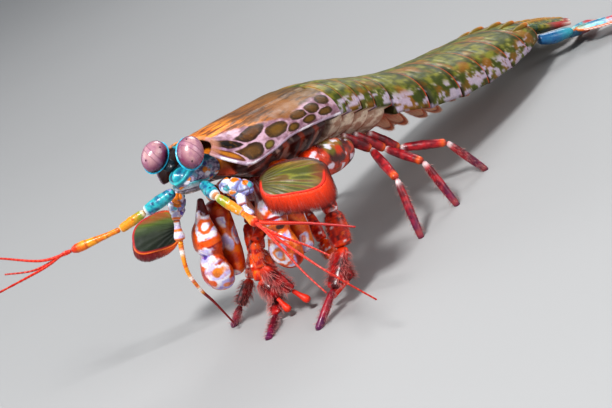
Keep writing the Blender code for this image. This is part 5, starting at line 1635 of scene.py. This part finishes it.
def telson():
    station, length = trunk_stations()[-1]
    half = [(s, x) for x, s in TELSON_HALF]
    corners = half + [(20.6, 0.0)] + [(s, -x) for s, x in reversed(half)] + [(0.0, 0.0)]
    outline = smooth_outline(corners, 720, 4)
    outline[:, 0] += GAP
    wedge = math.tan(math.radians(TELSON_SLOPE - ABDOMEN_SLOPES[-1]))

    def place(a, b, h):
        return station.at(b, a + wedge * (1 - a / length) * np.maximum(0.0, -h), h)

    def top(a, b, s):
        ridge = keel_ridges(a, b, 0.42)
        fine = sum(bell(np.abs(b), keel, 0.22) for keel in (1.7, 5.0, 8.6))
        pits = 0.10 * (noise(np.stack([a, b, 0 * a], -1), 0.9, 401) - 0.5)
        return (-0.5 - 0.016 * b * b + (0.62 * ridge + 0.22 * fine) * (1 - s**8) - 0.5 * s**4
                + pits + 0.25 * bell(s, 0.92, 0.05))

    def bottom(a, b, s):
        return -0.016 * b * b - 1.7 - 2.9 * (1 - a / (length + GAP)) * (1 - s**6)

    def paint(points, a, b, s):
        fleck = clouds(points, 0.9, 402)
        tone = mix("3a4a18", "8a8428", ramp(0.35, 0.65, fleck))
        tone = mix(tone, "2a6a78", 0.55 * mottle(points, 3.0, 403, 0.45, 0.65))
        tone = mix(tone, "d8902a", 0.8 * np.clip(keel_ridges(a, b, 0.4), 0, 1))
        tone = mix(tone, "b0241c", ramp(0.88, 0.96, s) * ramp(6, 12, a))
        return mix(tone, "f0dcd0", ramp(0.975, 1.0, s) * ramp(12, 18, a))

    piece = Piece("shell_telson")
    leaf(piece, place, outline, (10.0, 0.0), top, bottom, paint, 90)
    piece.make(TAIL, ("telson",), "tail_blue")


STALK = (((10.2, 108.8, 6.8), 1.1, 1.1), ((12.6, 111.6, 5.5), 1.6, 1.5),
         ((13.9, 114.6, 4.8), 1.7, 1.3), ((14.7, 116.8, 4.2), 1.1, 0.9))
INNER_PRONG = (((13.4, 115.4, 3.9), 1.0, 0.8), ((12.6, 119.4, 2.5), 0.8, 0.7),
               ((11.8, 123.4, 1.2), 0.6, 0.55), ((11.4, 126.0, 0.0), 0.45, 0.45))
OUTER_PRONG = (((14.6, 115.4, 3.9), 0.9, 0.8), ((15.4, 119.0, 2.6), 0.7, 0.6),
               ((15.8, 122.4, 1.5), 0.3, 0.3))
BLADES = {
    # name: root, long axis, length, width, fringe
    "exopod": ((16.4, 116.0, 4.6), (0.78, 0.60, -0.16), 12.0, 5.6, 2.4),
    "endopod": ((13.9, 116.4, 4.2), (0.05, 0.97, -0.20), 10.6, 3.6, 1.8),
}


def uropod(side):
    sign = SIDES[side]
    flip = np.array((sign, 1, 1))
    piece = Piece("tail_stalk_" + side)
    for stations, tone_a, tone_b in ((STALK, "1a5a8a", "3aa0b0"), (INNER_PRONG, "2a6a8a", "d88a3a"),
                                     (OUTER_PRONG, "2a6a8a", "d8583a")):
        rows = [(np.array(p) * flip, a, b) for p, a, b in stations]
        points, s, _ = body(rows, 60, 24, X, 0.8)
        if stations is INNER_PRONG:
            points[..., 2] = np.maximum(points[..., 2], 0.0)
            points[-1] = np.array((11.4, 126.0, 0.0)) * flip + (points[-1] - points[-1].mean(0)) * 4
            points[-1, :, 2] = 0.0
        tone = mix(tone_a, tone_b, ramp(0.3, 0.9, s)[:, None]
                   + 0.5 * (clouds(points, 0.8, 411) - 0.5))
        piece.tube(points, tone)
    fringe = Piece("fringe_tail_" + side)
    tail_blade(piece, fringe, sign, *BLADES["endopod"], False)
    piece.make(TAIL, ("uropod_stalk_" + side,), "tail_blue")
    piece = Piece("tail_blade_" + side)
    tail_blade(piece, fringe, sign, *BLADES["exopod"], True)
    piece.make(TAIL, ("uropod_exopod_" + side,), "tail_blue")
    fringe.make(BRISTLE, (), "feeler_red")


BLADE_BEND = 0.03
BLADE_BRISTLES = 700
BLADE_BRISTLE_GIRTH = 0.075


def tail_blade(piece, fringe, sign, root, along, length, width, reach, spined):
    flip = np.array((sign, 1, 1))
    root, along = np.array(root) * flip, unit(np.array(along) * flip)
    normal = unit(Z - along * along[2])
    across = np.cross(along, normal) * sign
    outline = smooth_outline(oval(length, width, 300), 320, 2)
    place = bent_plate(root, along, across, normal, BLADE_BEND)

    def top(a, b, s):
        return 0.35 * (1 - s**2) + 0.26 + 0.3 * bell(b, 0.0, 0.5) * (1 - s**6)

    def paint(points, a, b, s):
        blur = clouds(points, 1.0, 421)
        tone = mix("1a6a90", "3ab0b8", ramp(0.4, 0.6, blur))
        tone = mix(tone, "8a9a2a", 0.7 * ramp(0.35, 0.0, a / length))
        tone = mix(tone, "c81e2a", ramp(0.55, 0.75, a / length + 0.4 * (blur - 0.5)))
        return mix(tone, "f0803a", ramp(0.9, 0.98, s))

    leaf(piece, place, outline, (length * 0.5, 0.0), top, lambda a, b, s: -0.26 + 0 * a, paint, 34)
    a, b = smooth_outline(oval(length, width, 300), BLADE_BRISTLES, 2).T
    grown = np.clip(a / length * 1.8 - 0.2, 0, 1)
    spine_side = (b > 0.2 * width) & (a < 0.75 * length) & spined
    lengths = np.where(spine_side, 0.0, reach * grown)
    lengths = lengths * (0.85 + 0.2 * RANDOM.random(BLADE_BRISTLES))
    keep = lengths > 0.25
    a, b, lengths = a[keep], b[keep], lengths[keep]
    inner = place(length / 2 + (a - length / 2) * 0.97, b * 0.97, 0 * a)
    outward = unit(place(a, b, 0 * a) - inner)
    tangent = unit(np.roll(inner, -1, 0) - np.roll(inner, 1, 0))
    places = map_places(a, b, length, width)
    fringe.hairs(inner, outward + 0.2 * along, lengths, BLADE_BRISTLE_GIRTH, colour("e8381c"),
                 colour("f0a07a"), along, 0.2, tangent, places, 5)
    if spined:
        far = outline[outline[:, 1] > 0][::-1]
        way = unit(across + along * 0.9)
        for at in np.linspace(0.12, 0.74, 9) * length:
            foot = place(np.array(at), np.array(np.interp(at, *far.T) - 0.3), np.array(0.0))
            rows = [(foot, 0.22, 0.2), (foot + way * 0.7, 0.24, 0.2), (foot + way * 1.6, 0.08, 0.08)]
            points, s, _ = body(rows, 16, 10, along)
            piece.tube(points, mix("d8301c", "fae6da", s[:, None] + 0 * points[..., 0]))


# The whole animal, then floor, lights and camera

def animal():
    carapace()
    cephalothorax()
    face()
    rostral_plate()
    mouthparts()
    for side in SIDES:
        eye(side)
        antennule(side)
        antenna(side)
        antennal_scale(side)
        raptorial_claw(side)
        uropod(side)
    thorax_limbs()
    walking_legs()
    trunk()
    swimming_legs()
    telson()


FLOOR_RADIUS = 2.4
FLOOR_TONES = (0.36, 0.39)
FLOOR_GRAIN = 40.0
FLOOR_ROUGHNESS = 0.8
SKY = (0.86, 0.90, 0.96, 1.0)
SKY_STRENGTH = 0.34
LAMPS = (
    # name, place, size, power
    ("key", (0.10, -0.30, 0.46), 0.10, 2.7),
    ("fill", (-0.45, -0.25, 0.25), 0.35, 0.7),
    ("side", (0.45, 0.10, 0.22), 0.30, 0.7),
    ("back", (-0.10, 0.50, 0.40), 0.30, 1.3),
)
LAMP_AIM = Vector((0.0, -0.02, 0.02))


def studio():
    """A pale seamless floor and soft lights around the model."""
    scene = bpy.context.scene
    mesh = bpy.data.meshes.new("floor")
    ring = [(FLOOR_RADIUS * math.cos(a), FLOOR_RADIUS * math.sin(a), 0.0) for a in circle(96)]
    mesh.from_pydata(ring, [], [list(range(len(ring)))])
    floor = bpy.data.objects.new("floor", mesh)
    scene.collection.objects.link(floor)
    paper = bpy.data.materials.new("Pale floor")
    paper.use_nodes = True
    tree = paper.node_tree
    shader = tree.nodes["Principled BSDF"]
    shader.inputs["Roughness"].default_value = FLOOR_ROUGHNESS
    grain = add_node(tree, "TexNoise", Scale=FLOOR_GRAIN)
    tone = add_node(tree, "MapRange", To_Min=FLOOR_TONES[0], To_Max=FLOOR_TONES[1])
    tree.links.new(grain.outputs["Fac"], tone.inputs["Value"])
    tree.links.new(tone.outputs["Result"], shader.inputs["Base Color"])
    mesh.materials.append(paper)

    world = bpy.data.worlds.new("studio")
    world.use_nodes = True
    sky = world.node_tree.nodes["Background"]
    sky.inputs["Color"].default_value = SKY
    sky.inputs["Strength"].default_value = SKY_STRENGTH
    scene.world = world
    scene.view_settings.view_transform = "Standard"
    scene.view_settings.look = "Medium High Contrast"
    for name, place, size, energy in LAMPS:
        light = bpy.data.lights.new(name, "AREA")
        light.size = size
        light.energy = energy
        lamp = bpy.data.objects.new(name, light)
        lamp.location = place
        aim = LAMP_AIM - Vector(place)
        lamp.rotation_euler = aim.to_track_quat("-Z", "Y").to_euler()
        scene.collection.objects.link(lamp)


LENS = 100.0
SENSOR_WIDTH = 36.0
NEAREST_SEEN = 0.001
CAMERA_PLACE = (227.3, -214.2, 116.4)
CAMERA_WAY = (-0.659, 0.691, -0.298)
CAMERA_RIGHT = (0.738, 0.517, -0.433)


def camera():
    data = bpy.data.cameras.new("camera")
    data.lens = LENS
    data.sensor_width = SENSOR_WIDTH
    data.clip_start = NEAREST_SEEN
    made = bpy.data.objects.new("camera", data)
    way, right = unit(CAMERA_WAY), unit(CAMERA_RIGHT)
    up = unit(np.cross(right, way))
    right = np.cross(way, up)
    turn = Matrix((right, up, -way)).transposed().to_4x4()
    turn.translation = Vector((np.array(CAMERA_PLACE) + SHIFT) * MM)
    made.matrix_world = turn
    bpy.context.scene.collection.objects.link(made)
    bpy.context.scene.camera = made


camera()
studio()
animal()
